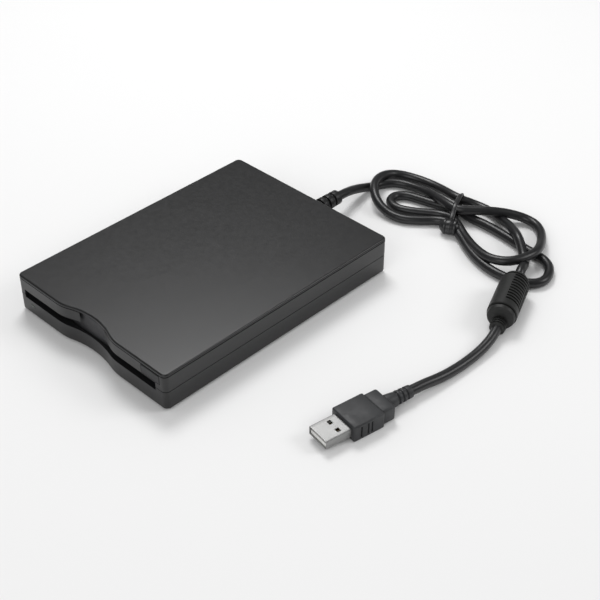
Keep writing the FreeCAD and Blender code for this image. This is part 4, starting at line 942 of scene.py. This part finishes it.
@dataclass
class Cord:
    """USB cord: out of the strain relief, round the tied hank, through the bead, into the plug.

    The route is in millimetres, the other sizes are in metres.
    """

    diameter: float = 0.0048
    length: float = 0.76
    exit: Point = (0.0005, 0.091, 0.01075)
    route: tuple[Point, ...] = (
        (0.5, 90.7, 10.75), (0.5, 95.6, 10.45), (-1, 103.1, 8.3), (-1.7, 110.7, 5.8), (-1.6, 117.1, 3.5),
        (-0.6, 121.7, 2.5), (1, 127.2, 2.5), (5.4, 133, 2.5), (14.4, 136.1, 2.5), (27.1, 135.2, 4.4),
        (40.3, 130.1, 7.3), (49.5, 128.7, 7.6), (55.2, 133.9, 7.3), (62, 139.6, 7.4), (69.1, 146.9, 5.8),
        (76.1, 152.7, 3.2), (84.9, 152.5, 2.5), (93.8, 142.9, 3.6), (100.6, 129.5, 6.8), (100, 119.4, 7.3),
        (95.7, 110.3, 7.3), (86, 107.8, 6), (75.4, 111.3, 4.6), (62.9, 118.4, 3), (50.4, 126.4, 3.6),
        (41.9, 125.7, 2.5), (34.9, 120.8, 2.5), (27.4, 115.9, 2.5), (20.8, 113.8, 2.5), (14.8, 116.2, 2.5),
        (13.1, 122, 2.5), (17.2, 127, 2.5), (25, 129, 2.5), (32.6, 130.8, 2.5), (38.6, 132.8, 2.5),
        (45.4, 135.2, 3.6), (53.5, 133.6, 2.5), (65.4, 134.4, 2.5), (77.7, 133.4, 2.5), (88.8, 131.5, 2.5),
        (98.2, 130.8, 2.5), (105.1, 130.1, 2.5), (111.2, 125.5, 2.5), (114.8, 116.5, 2.5),
        (111.6, 110, 2.5), (104.4, 106.4, 2.5), (95.4, 104.6, 2.5), (84.3, 105.9, 2.5), (72.6, 110.5, 2.5),
        (60.9, 117.8, 2.5), (51.4, 122, 3.6), (44.2, 120.5, 2.5), (37.6, 113.7, 2.5), (30.5, 108.2, 2.5),
        (21.9, 106.7, 3), (13, 108.2, 5.4), (5.3, 114.1, 7.2), (0.7, 121.3, 7.2), (-1.4, 130, 5.8),
        (1, 138.5, 3.6), (11.2, 143.6, 2.5), (24.8, 145, 2.5), (41.5, 139.9, 5.6), (48, 145.3, 2.5),
        (57.5, 146.2, 2.5), (67.5, 143.7, 2.6), (76.6, 138.9, 5.2), (86.1, 132, 7.3), (91.7, 128, 4.8),
        (96.9, 123.7, 2.5), (100.9, 117.6, 3.9), (103.2, 112.8, 7.1), (104.9, 108.6, 7.5),
        (106.4, 104.8, 5.4), (111.3, 93, 4.8), (116.7, 80, 4.8), (120.2, 71.7, 4.8), (122.4, 66.4, 4.8),
        (124.1, 59.2, 3.7), (124.7, 49, 2.5), (124.4, 36.5, 2.5), (123.4, 26, 3), (121.5, 15.5, 4.3),
        (120.2, 8, 4.3),
    )

    def build(self, on_it: Sequence[bpy.types.Object]) -> None:
        """Make the cord.

        Args:
            on_it: Pieces that are on the cord; not used.
        """
        line = round_line("cord", self.route, self.diameter / 2, steps=8, sides=4)
        cord = show("cord", line, "cord_sheath")
        fit(cord, Body.CASE, "cord_black", "cord_to_hank", "cord_hank", "cord_in_bead", "cord_to_plug")


@dataclass
class StrainRelief:
    """Slotted rubber relief held between the shells."""

    place: Point = (0.5, 0.0, EXIT_LEVEL)
    bore: float = 1.9
    flange: tuple[float, float, float] = (5.0, 67.4, 69.3)  # radius, near end, far end
    neck: Pair = (3.4, 71.0)  # radius, far end
    collar: Pair = (4.35, 73.2)  # radius, far end
    waist: float = 3.0
    ribs: tuple[tuple[float, float, float], ...] = (  # radius, start, end
        (4.2, 74.1, 77.1), (4.15, 78.4, 81.4), (4.05, 82.7, 85.8), (3.9, 87.1, 90.9),
    )

    def build(self) -> None:
        """Make the relief."""
        radius, near, far = self.flange
        profile = [(self.bore, near), (radius, near), (radius, far), (self.neck[0], far),
                   (self.neck[0], self.neck[1]), (self.collar[0], self.neck[1]), self.collar]
        for rib, start, end in self.ribs:
            profile += [(self.waist, profile[-1][1]), (self.waist, start), (rib, start), (rib - 0.05, end)]
        profile.append((self.bore, profile[-1][1]))
        form = Form()
        form.turned(profile, self.place, Axis.Y, steps=40, rounding=0.22)
        finished(form, "strain_relief_moulding", "relief_moulding", Body.CASE, "moulding_grey",
                 "strain_relief")


@dataclass
class HankTie:
    """Wire tie round the hank: flat band, twisted tail with its wrapped knot, and far knob."""

    centre: Point = (48.1, 129.6, 0.0)
    across: Pair = (-0.4226, 0.9063)
    band_width: float = 2.7
    band_thick: float = 0.9
    outline: Pairs = (
        (-10.9, 1.6), (-8.6, 0.62), (-2.0, 0.62), (5.0, 0.62), (10.5, 1.2), (14.2, 3.0), (15.0, 5.6),
        (13.4, 8.9), (8.5, 9.5), (3.0, 10.4), (-1.2, 10.4), (-4.6, 8.0), (-8.4, 6.8), (-10.8, 4.6),
    )
    twist: Winding = Winding(0.6, 0.75, turns=2.6, steps=18, sides=8)
    tail_long: float = 9.0
    tail_place: Point = (-12.4, -2.0, 1.7)
    tail_lean: float = -14.0
    knot: Pairs = ((0, -5.6), (2.0, -5.3), (3.5, -3.4), (4.0, -0.4), (3.6, 2.4), (2.2, 4.6), (0, 5.0))
    knot_place: Point = (-12.9, 0.6, 4.15)
    wrap: Pairs = ((3.2, -0.75), (4.1, -0.55), (4.1, 0.55), (3.2, 0.75))
    wrap_place: Point = (-12.9, 0.6, 4.25)
    wraps: tuple[float, ...] = (-2.6, 0.0, 2.6)
    knob: Pairs = ((0, -1.3), (0.75, -1.3), (0.95, -0.4), (0.9, 0.9), (0.6, 1.3), (0, 1.3))
    knob_place: Point = (15.6, 0.0, 5.4)

    def frame(self) -> Matrix:
        """Local x across the strands, local y along them.

        Returns:
            The tie's place in the scene, in millimetres.
        """
        u = Vector((*self.across, 0))
        v = Vector((self.across[1], -self.across[0], 0))
        turn = Matrix((u, v, Vector((0, 0, 1)))).transposed().to_4x4()
        return Matrix.Translation(self.centre) @ turn

    def band(self) -> bpy.types.Object:
        """Make the band.

        Returns:
            The band.
        """
        form = Form()
        line = [(across, -self.band_width / 2, level) for across, level in self.outline]
        form.strip(line, (0, self.band_width, 0), self.band_thick, closed=True)
        form.moved(self.frame())
        band = finished(form, "tie_band", "tie_plastic", Body.CASE, "moulding_grey", "hank_tie", crease=180.0)
        soften(band, 2)
        return band

    def tail(self) -> bpy.types.Object:
        """Make the two twisted ends beside the hank, their wrapped knot and the far knob.

        Returns:
            Twist, knot and knob as one piece.
        """
        form = Form()
        for _ in range(2):
            form.moved(Matrix.Rotation(math.pi, 4, "Y"))
            form.coil((0, 0, 0), Axis.Y, self.tail_long, self.twist)
        form.moved(laid(self.tail_place, self.tail_lean))
        form.turned(self.knot, self.knot_place, Axis.Y, steps=28, rounding=0.5)
        for spot in self.wraps:
            wrap = [(r, spot + y) for r, y in self.wrap]
            form.turned(wrap, self.wrap_place, Axis.Y, steps=28, rounding=0.15)
        form.turned(self.knob, self.knob_place, Axis.Z, steps=20, rounding=0.2)
        return finished(form.moved(self.frame()), "tie_tail", "tie_plastic", Body.CASE, "moulding_grey")

    def build(self) -> list[bpy.types.Object]:
        """Make the tie's pieces."""
        return [self.band(), self.tail()]


@dataclass
class Bead:
    """Ferrite bead in its grooved moulded cover, shaped along +Y from its upper end and then laid down."""

    start: Point = (107.5, 102.2, 7.2)
    turn_degrees: float = -157.386
    radius: float = 7.2
    length: float = 33.0
    end: Pairs = (
        (0, 1.0), (5.2, 1.0), (6.3, 1.6), (6.75, 2.8), (6.75, 3.2), (6.1, 3.3), (6.1, 4.1),
        (6.9, 4.2), (7.2, 4.6),
    )
    end_face: float = 1.0
    drop: float = 2.4
    bore: float = 2.42
    sleeve: float = 3.8
    sleeve_root: float = -1.5
    sleeve_long: float = 5.2
    sleeve_ribs: int = 3
    sleeve_pitch: float = 1.5
    sleeve_step: float = 0.55
    groove_first: float = 5.2
    groove_pitch: float = 2.05
    groove_wide: float = 1.05
    groove_deep: float = 0.85
    groove_count: int = 10
    steps: int = 72
    spans: Pairs = ((2.0, 178.0), (-178.0, -66.0))  # degrees round it that the grooves take in

    def in_groove(self, face: bmesh.types.BMFace) -> bool:
        """True for a face of the round wall that a groove takes in.

        Args:
            face: The face.

        Returns:
            Whether it sinks.
        """
        middle = face.calc_center_median()
        if math.hypot(middle.x, middle.z) < self.radius * 0.9:
            return False
        angle = math.degrees(math.atan2(-middle.x, middle.z))
        step = (middle.y - self.groove_first) / self.groove_pitch
        inside = 0 <= step < self.groove_count and (step % 1.0) * self.groove_pitch < self.groove_wide
        return inside and any(low < angle < high for low, high in self.spans)

    def cover_body(self) -> Form:
        """Round body with a ring groove at each end and pressed grooves between them.

        Returns:
            The cover, not yet laid down.
        """
        form = Form()
        rings = []
        for step in range(self.groove_count):
            low = self.groove_first + self.groove_pitch * step
            rings += [(self.radius, low), (self.radius, low + self.groove_wide)]
        tail = [(r, self.length - y) for r, y in reversed(self.end)]
        form.turned([*self.end, *rings, *tail], (0, 0, 0), Axis.Y, self.steps)
        form.press(self.in_groove, self.sunk)
        return form

    def sunk(self, spot: Vector) -> Vector:
        """A point of the wall moved to the bottom of a groove.

        Args:
            spot: The point.

        Returns:
            Its new place.
        """
        out = math.hypot(spot.x, spot.z)
        share = (out - self.groove_deep) / out
        return Vector((spot.x * share, spot.y, spot.z * share))

    def sleeve_walls(self) -> list[Pair]:
        """Profile of a ribbed sleeve round the cord, with distances out from the end's face.

        Returns:
            Corners of (radius, distance), from the root of the bore outwards.
        """
        deep = self.sleeve - self.sleeve_step
        walls = [(self.bore, self.sleeve_root), (self.sleeve, self.sleeve_root)]
        for step in range(self.sleeve_ribs):
            low = self.sleeve_pitch * step
            walls += [(self.sleeve, low), (self.sleeve, low + self.sleeve_step),
                      (deep, low + self.sleeve_step + 0.1), (deep, low + self.sleeve_pitch - 0.1)]
        return walls + [(self.sleeve - 0.15, self.sleeve_long - 0.6), (self.bore, self.sleeve_long)]

    def build(self) -> list[bpy.types.Object]:
        """Make the cover with its two sleeves, and dress the core.

        Returns:
            The pieces that are on the cord.
        """
        cover = self.cover_body()
        for out, face in ((-1, self.end_face), (1, self.length - self.end_face)):
            walls = [(r, face + out * y) for r, y in self.sleeve_walls()[::out]]
            cover.turned(walls, (0, 0, -self.drop), Axis.Y, steps=36)
        cover.moved(laid(self.start, self.turn_degrees))
        piece = finished(cover, "bead_moulding", "bead_moulding", Body.CASE, "moulding_grey", "bead_cover",
                         crease=30.0)
        carry("bead_ferrite", "bead_core")
        return [piece, NODES["bead_core"]]


@dataclass
class Plug:
    """USB-A plug: steel shell, tongue, contacts and a stepped moulded body.

    It is shaped along +Y from the tip and then laid down.
    """

    tip: Point = (111.62, -40.13, 0.0)
    turn_degrees: float = -10.1
    level: float = 4.3
    shell_half: float = 6.0
    shell_high: float = 2.25
    shell_long: float = 18.0
    wall: float = 0.35
    holes: Pairs = ((-3.9, -1.5), (1.7, 4.1))
    hole_span: Pair = (7.2, 9.2)
    body_half: float = 7.9
    body_high: float = 4.2
    body_span: Pair = (13.0, 29.2)
    grips: tuple[float, ...] = (16.6, 20.2, 22.2)
    grip_wide: float = 0.8
    grip_high: float = 2.9
    grip_deep: float = 0.7
    shoulder: Point = (6.9, 36.0, 4.0)  # half width, far end, half height
    shoulder_root: float = 28.6
    tail: Pairs = (
        (0, 35.6), (3.9, 35.6), (3.2, 41.0), (2.55, 41.4), (2.55, 42.0), (3.2, 42.0), (3.2, 43.4),
        (2.55, 43.4), (2.55, 44.4), (3.15, 44.4), (3.1, 45.8), (2.5, 45.8), (2.5, 46.8),
        (3.05, 46.8), (2.95, 49.5), (0, 49.5),
    )

    def shell(self) -> bpy.types.Object:
        """Make the folded steel shell with its two latch holes.

        Returns:
            The shell.
        """
        half, low, high = self.shell_half, self.level - self.shell_high, self.level + self.shell_high
        hole_near, hole_far = self.hole_span
        form = Form()
        form.block((-half, 0, low), (half, self.shell_long, high))
        for side in (x for hole in self.holes for x in hole):
            form.slice((side, 0, 0), (1, 0, 0))
        for end in self.hole_span:
            form.slice((0, end, 0), (0, 1, 0))
        form.drop(lambda at: is_near(at.y, 0) or is_near(at.y, self.shell_long))
        form.drop(lambda at: is_near(at.z, high) and hole_near < at.y < hole_far
                  and any(left < at.x < right for left, right in self.holes))
        form.bevel(form.folds(), width=0.55, segments=3)
        bmesh.ops.recalc_face_normals(form.bm, faces=form.bm.faces[:])
        bmesh.ops.solidify(form.bm, geom=form.bm.faces[:], thickness=self.wall)
        form.moved(laid(self.tip, self.turn_degrees))
        return finished(form, "plug_case", "plug_nickel", Body.CASE, "plug_nickel", "plug_shell")

    def body(self) -> bpy.types.Object:
        """Make the moulded body, its shoulder and the ribbed tail.

        Returns:
            The body.
        """
        form = Form()
        half, level, (front, back) = self.body_half, self.level, self.body_span
        form.block((-half, front, level - self.body_high), (half, back, level + self.body_high))
        for place in self.grips:
            form.slice((0, place, 0), (0, 1, 0))
            form.slice((0, place + self.grip_wide, 0), (0, 1, 0))
        for reach in (-self.grip_high, self.grip_high):
            form.slice((0, 0, level + reach), (0, 0, 1))
        form.press(self.in_grip, self.pressed)
        form.bevel([e for e in form.folds() if self.on_outside(e)], width=0.7, segments=3)
        wide, end, high = self.shoulder
        form.block((-wide, self.shoulder_root, level - high), (wide, end, level + high),
                   rounding=1.1, segments=3)
        form.turned(self.tail, (0, 0, level), Axis.Y, steps=32, rounding=0.18)
        form.moved(laid(self.tip, self.turn_degrees))
        return finished(form, "plug_body", "plug_moulding", Body.CASE, "moulding_grey", "plug_moulding",
                        crease=30.0)

    def in_grip(self, face: bmesh.types.BMFace) -> bool:
        """True for a side face between the two lines of a grip groove.

        Args:
            face: The face.

        Returns:
            Whether it sinks.
        """
        at = face.calc_center_median()
        at_side = is_near(abs(at.x), self.body_half) and abs(at.z - self.level) < self.grip_high
        return at_side and any(place < at.y < place + self.grip_wide for place in self.grips)

    def pressed(self, spot: Vector) -> Vector:
        """A point of a side face moved to the bottom of a grip groove."""
        return Vector((spot.x - math.copysign(self.grip_deep, spot.x), spot.y, spot.z))

    def on_outside(self, edge: bmesh.types.BMEdge) -> bool:
        """True for an edge of the block's outside, not of a groove.

        Args:
            edge: The edge.

        Returns:
            Whether it is rounded.
        """
        at = (edge.verts[0].co + edge.verts[1].co) / 2
        at_side = is_near(abs(at.x), self.body_half)
        at_level = is_near(abs(at.z - self.level), self.body_high)
        return at_side + at_level + any(is_near(at.y, end) for end in self.body_span) >= 2

    def build(self) -> list[bpy.types.Object]:
        """Make the plug's pieces.

        Returns:
            The pieces that are on the cord.
        """
        carry("tongue_white", "plug_tongue")
        carry("contact_gold", "plug_contacts")
        return [self.shell(), self.body(), NODES["plug_tongue"], NODES["plug_contacts"]]


# ---- Drive --------------------------------------------------------------------------------------


def swept(name: str, points: Sequence[Point], radius: float, finish: str) -> bpy.types.Object:
    """Round wire or lead along a smooth line.

    Args:
        name: Name of the piece.
        points: Points that steer the line, in millimetres.
        radius: Radius of the wire.
        finish: Name of its finish.

    Returns:
        The piece, as a mesh.
    """
    line = round_line(name + "_line", points, radius * MM, steps=5, sides=2)
    guide = bpy.data.objects.new(name + "_line", line)
    bpy.context.scene.collection.objects.link(guide)
    graph = bpy.context.evaluated_depsgraph_get()
    mesh = bpy.data.meshes.new_from_object(guide.evaluated_get(graph))
    bpy.data.objects.remove(guide)
    form = Form()
    form.bm.from_mesh(mesh)
    bmesh.ops.scale(form.bm, vec=(1 / MM,) * 3, verts=form.bm.verts[:])
    return show(name, form.mesh(name), finish)


def corners(node: str) -> tuple[Vector, Vector]:
    """Lowest and highest corner of a CAD node's box, in millimetres."""
    low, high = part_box(node)
    return low / MM, high / MM


def middle(node: str) -> Vector:
    """Middle of a CAD node's box, in millimetres."""
    low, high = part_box(node)
    return (low + high) / 2 / MM


@dataclass
class Housing:
    """Shells, feet, dust door, eject button and light."""

    screw_spots: Pairs = ((-45.5, 64.5), (45.5, 64.5))
    screw_seat: float = 1.5
    screw_high: float = 1.5
    screw_head: Pairs = ((0, 0), (1.8, 0), (2.2, 0.35), (2.2, 1.5), (0, 1.5))
    screw_core: Pairs = ((0, -0.3), (0.68, -0.3), (0.68, 12.0), (0, 12.0))
    thread: Winding = Winding(0.68, 0.2, turns=12, steps=16, sides=6)
    thread_from: float = 0.3
    thread_long: float = 11.2
    cross: tuple[float, float, float] = (0.24, 1.2, 0.7)  # half width of an arm, its reach, depth

    def in_cross(self, face: bmesh.types.BMFace) -> bool:
        """True for a face of a screw head's underside that lies in the driver's cross.

        Args:
            face: The face.

        Returns:
            Whether it sinks.
        """
        at = face.calc_center_median()
        reaches = [sorted((abs(at.x - x), abs(at.y - y))) for x, y in self.screw_spots]
        inside = any(short < self.cross[0] and long < self.cross[1] for short, long in reaches)
        return inside and is_near(at.z, self.screw_seat)

    def screws(self) -> None:
        """Make the two long case screws, seen from below."""
        form = Form()
        thin, wide, deep = self.cross
        for x, y in self.screw_spots:
            form.turned(self.screw_head, (x, y, self.screw_seat), Axis.Z, steps=32)
            for reach in (-wide, -thin, thin, wide):
                form.slice((x + reach, 0, 0), (1, 0, 0))
                form.slice((0, y + reach, 0), (0, 1, 0))
            form.press(self.in_cross, lambda spot: spot + Vector((0, 0, deep)))
            base = self.screw_seat + self.screw_high
            form.turned(self.screw_core, (x, y, base), Axis.Z, steps=20)
            form.coil((x, y, base + self.thread_from), Axis.Z, self.thread_long, self.thread)
        finished(form, "case_screws_cut", "screw_zinc", Body.CASE, "screw_steel", "case_screws")

    def build(self) -> None:
        """Make the screws and dress the carried pieces."""
        self.screws()
        carry("casing_black", "upper_shell", "lower_shell")
        carry("foot_rubber", "rubber_feet")
        carry("door_black", "dust_door")
        carry("turned_steel", "door_pin")
        carry("button_black", "eject_button")
        carry("light_guide", "light_pipe")


@dataclass
class Springs:
    """Coil springs of the slide, the latch lever, the door and the head arm."""

    slide_x: Pair = (-45.0, 43.0)
    slide_span: Pair = (-39.0, -27.0)
    slide_hooks: Pair = (-47.2, -24.9)  # ends of the hooks along Y
    slide: Winding = Winding(1.2, 0.26, turns=14, steps=18, sides=6)
    lever: Winding = Winding(2.7, 0.3, turns=3.5, steps=28, sides=8)
    lever_spot: Pair = (-42.0, 36.0)
    lever_end: float = 0.35
    door: Winding = Winding(0.84, 0.13, turns=9, steps=16, sides=6)
    door_y: float = -65.55
    door_drop: float = 1.0
    door_end: float = 0.15
    leg_y: float = -65.1
    leg_radius: float = 0.15
    arm: Winding = Winding(1.12, 0.2, turns=5, steps=20, sides=6)
    arm_y: float = 52.5
    arm_end: float = 0.22

    def slide_pair(self) -> None:
        """Make the two draw springs of the slide with their hooks."""
        level = middle("slide_springs").z
        near, far = self.slide_span
        side, wire = self.slide.radius, self.slide.wire
        form = Form()
        for x in self.slide_x:
            form.coil((x, near, level), Axis.Y, far - near, self.slide)
            form.wire((x + side, near + 0.1, level), (x, near - 1.2, level), wire)
            form.wire((x, near - 1.1, level), (x, self.slide_hooks[0], level), wire)
            form.wire((x + side, far - 0.1, level), (x, far + 0.6, level), wire)
            form.wire((x, far + 0.5, level), (x, self.slide_hooks[1], level), wire)
        finished(form, "slide_coils", "spring_wire", Body.SLIDE, "spring_steel", "slide_springs")

    def lever_coil(self) -> None:
        """Make the torsion spring round the latch lever's post."""
        low, high = corners("lever_spring")
        form = Form()
        long = high.z - low.z - 2 * self.lever_end
        form.coil((*self.lever_spot, low.z + self.lever_end), Axis.Z, long, self.lever)
        finished(form, "lever_coil", "spring_wire", Body.CASE, "spring_steel", "lever_spring")

    def door_coil(self) -> None:
        """Make the torsion spring on the dust door's pin, with the leg that presses the door."""
        low, high = corners("door_spring")
        level, leg = high.z - self.door_drop, high.x - 0.2
        form = Form()
        long = high.x - low.x - 2 * self.door_end
        form.coil((low.x + self.door_end, self.door_y, level), Axis.X, long, self.door)
        form.wire((leg, self.leg_y, level + 0.3), (leg, self.leg_y, low.z + 0.1), self.leg_radius)
        finished(form, "door_coil", "spring_wire", Body.DOOR, "spring_steel", "door_spring")

    def arm_coil(self) -> None:
        """Make the torsion spring of the upper head arm."""
        low, high = corners("arm_spring")
        form = Form()
        long = high.x - low.x - 2 * self.arm_end
        form.coil((low.x + self.arm_end, self.arm_y, middle("arm_spring").z), Axis.X, long, self.arm)
        finished(form, "arm_coil", "spring_wire", Body.CARRIAGE, "spring_steel", "arm_spring")

    def build(self) -> None:
        """Make all of them."""
        self.slide_pair()
        self.lever_coil()
        self.door_coil()
        self.arm_coil()


@dataclass
class Mechanism:
    """Chassis, disk holder, slide, latch, motor and heads."""

    coil_ring: float = 11.0
    coil_count: int = 6
    coil_turns: int = 7
    coil_inner: float = 1.5
    coil_pitch: float = 0.34
    coil_wire: float = 0.3
    coil_span: Pair = (0.02, 0.46)  # above the motor board
    screw_radius: float = 0.9
    thread_radius: float = 0.92
    thread_wire: float = 0.36
    thread_ends: Pair = (1.0, 3.0)  # plain lengths of the rod
    lead: float = 3.0

    def lead_screw(self) -> None:
        """Make the lead screw with its steep thread."""
        low, high = corners("lead_screw")
        centre = middle("lead_screw")
        radius, long = self.screw_radius, high.y - low.y
        form = Form()
        rod = [(0, 0), (radius, 0), (radius, long), (0, long)]
        form.turned(rod, (centre.x, low.y, centre.z), Axis.Y, steps=24, rounding=0.1)
        threaded = long - sum(self.thread_ends)
        turns = threaded / self.lead
        thread = Winding(self.thread_radius, self.thread_wire, turns, steps=28, sides=8)
        form.coil((centre.x, low.y + self.thread_ends[0], centre.z), Axis.Y, threaded, thread)
        finished(form, "lead_screw_thread", "turned_steel", Body.SCREW, "turned_steel", "lead_screw")

    def coils(self) -> None:
        """Make the spindle motor's flat windings."""
        low, high = corners("stator_coils")
        centre = (low + high) / 2
        bottom, top = self.coil_span
        form = Form()
        for step in range(self.coil_count):
            angle = math.radians(360 / self.coil_count * (step + 0.5))
            x = centre.x + self.coil_ring * math.cos(angle)
            y = centre.y + self.coil_ring * math.sin(angle)
            for ring in range(self.coil_turns):
                inner = self.coil_inner + self.coil_pitch * ring
                outer = inner + self.coil_wire
                form.turned([(inner, bottom), (outer, bottom), (outer, top), (inner, top)],
                            (x, y, low.z), Axis.Z, steps=28)
        finished(form, "windings", "copper_winding", Body.CASE, "copper_wire", "stator_coils", crease=60.0)

    def dress(self) -> None:
        """Dress the carried pieces."""
        carry("sheet_zinc", "chassis", "disk_holder", "slide_plate", "latch_lever", "stepper_bracket",
              "rod_clamps", "rotor_yoke", "stepper_motor")
        carry("turned_steel", "holder_pins", "lever_post", "spindle_shaft", "drive_pin", "guide_rod",
              "arm_pin")
        carry("spring_wire", "pressure_springs")
        carry("screw_zinc", "inner_screws")
        carry("bronze_bush", "spindle_bearing")
        carry("magnet_ferrite", "rotor_magnet")
        carry("inner_black", "head_carriage", "upper_head_arm")
        carry("head_ceramic", "lower_head", "upper_head")

    def build(self) -> None:
        """Make the turned and wound pieces and dress the rest."""
        self.lead_screw()
        self.coils()
        self.dress()


@dataclass
class Boards:
    """Circuit boards, chips, switches, ribbon and inner lead."""

    chips: tuple[tuple[float, float, float], ...] = ((-32.5, 51.0, 8.2), (28.0, 48.0, 6.2))  # x, y, side
    chip_clear: float = 0.12
    leg_pitch: float = 0.65
    leg_half: float = 0.12
    leg_margin: float = 0.6
    leg_parts: tuple[tuple[Pair, Pair], ...] = (  # out of the chip, above the board
        ((-0.05, 0.45), (0.55, 0.7)), ((0.33, 0.45), (0.12, 0.6)), ((0.33, 0.85), (0.0, 0.14)),
    )
    mark: Pairs = ((0, 0), (0.35, 0), (0.35, 0.04), (0, 0.04))
    ribbon_thick: float = 0.12
    ribbon_inset: float = 0.15
    lead_radius: float = 1.3
    lead_route: tuple[Point, ...] = (
        (0.5, 67.2, 0.0), (0.5, 64.6, 0.0), (1.2, 62.6, 0.0), (4.2, 61.8, 0.1),
        (9.6, 61.3, 0.45), (15.5, 61.8, 0.75), (20.5, 62.4, 0.75), (25.2, 62.4, 0.75),
    )

    def chip_leg(self, legs: Form, out: float, along: float, place: Matrix) -> None:
        """Add one bent leg to a chip.

        Args:
            legs: Form that it goes into.
            out: Distance of the chip's side from its middle.
            along: Place of the leg along that side.
            place: Place of the chip's side.
        """
        ends = []
        for (inner, outer), (foot, top) in self.leg_parts:
            ends += legs.block((out + inner, along - self.leg_half, foot),
                               (out + outer, along + self.leg_half, top))
        bmesh.ops.transform(legs.bm, matrix=place, verts=ends)

    def chip_set(self) -> None:
        """Make the two chips with their legs."""
        low, high = corners("board_chips")
        bodies, legs = Form(), Form()
        for x, y, side in self.chips:
            half = side / 2
            bodies.block((x - half, y - half, low.z + self.chip_clear), (x + half, y + half, high.z),
                         rounding=0.12, segments=1)
            bodies.turned(self.mark, (x - half + 1, y - half + 1, high.z), Axis.Z, steps=16)
            count = int((side - 2 * self.leg_margin) / self.leg_pitch)
            for step in range(count + 1):
                along = (step - count / 2) * self.leg_pitch
                for turn in range(4):
                    place = Matrix.Translation((x, y, low.z)) @ Matrix.Rotation(turn * math.pi / 2, 4, "Z")
                    self.chip_leg(legs, half, along, place)
        finished(bodies, "chip_bodies", "chip_epoxy", Body.CASE, "chip_black", "board_chips")
        finished(legs, "chip_legs", "screw_zinc", Body.CASE, "connector_white")

    def ribbon(self) -> None:
        """Make the flat ribbon between the boards, with its soft folds."""
        low, high = corners("drive_ribbon")
        inset = self.ribbon_inset
        left, right, down, up = low.x + inset, high.x - inset, low.z + inset, high.z - inset
        route = (
            (left, up), (left + 0.9, up - 0.1), (left + 0.95, down + 1.2), (left + 2.0, down),
            (-14.0, down), (-6.0, down + 0.25), (4.0, down),
            (right - 2.0, down), (right - 0.95, down + 1.2), (right - 0.9, up - 0.1), (right, up),
        )
        form = Form()
        form.strip([(x, low.y, z) for x, z in route], (0, high.y - low.y, 0), self.ribbon_thick)
        soften(finished(form, "ribbon", "ribbon_film", Body.CASE, "ribbon_white", "drive_ribbon",
                        crease=180.0), 1)

    def lead(self) -> None:
        """Make the lead from the relief, at whose level it starts, up to the connector."""
        points = [(x, y, EXIT_LEVEL + up) for x, y, up in self.lead_route]
        piece = swept("inner_sheath", points, self.lead_radius, "cord_sheath")
        fit(piece, Body.CASE, "cord_black", "inner_lead")

    def build(self) -> None:
        """Make the chips, ribbon and lead, and dress the rest."""
        self.chip_set()
        self.ribbon()
        self.lead()
        carry("board_mask", "motor_board", "front_board", "control_board", "bridge_board")
        carry("chip_epoxy", "switch_cases")
        carry("nylon_white", "board_connectors", "write_protect_plunger", "disk_in_plunger")


def main() -> None:
    """Build everything in order."""
    Studio().build()
    StrainRelief().build()
    on_cord = [*HankTie().build(), *Bead().build(), *Plug().build()]
    Cord().build(on_cord)
    Housing().build()
    Springs().build()
    Mechanism().build()
    Boards().build()


if __name__ == "__main__":
    main()
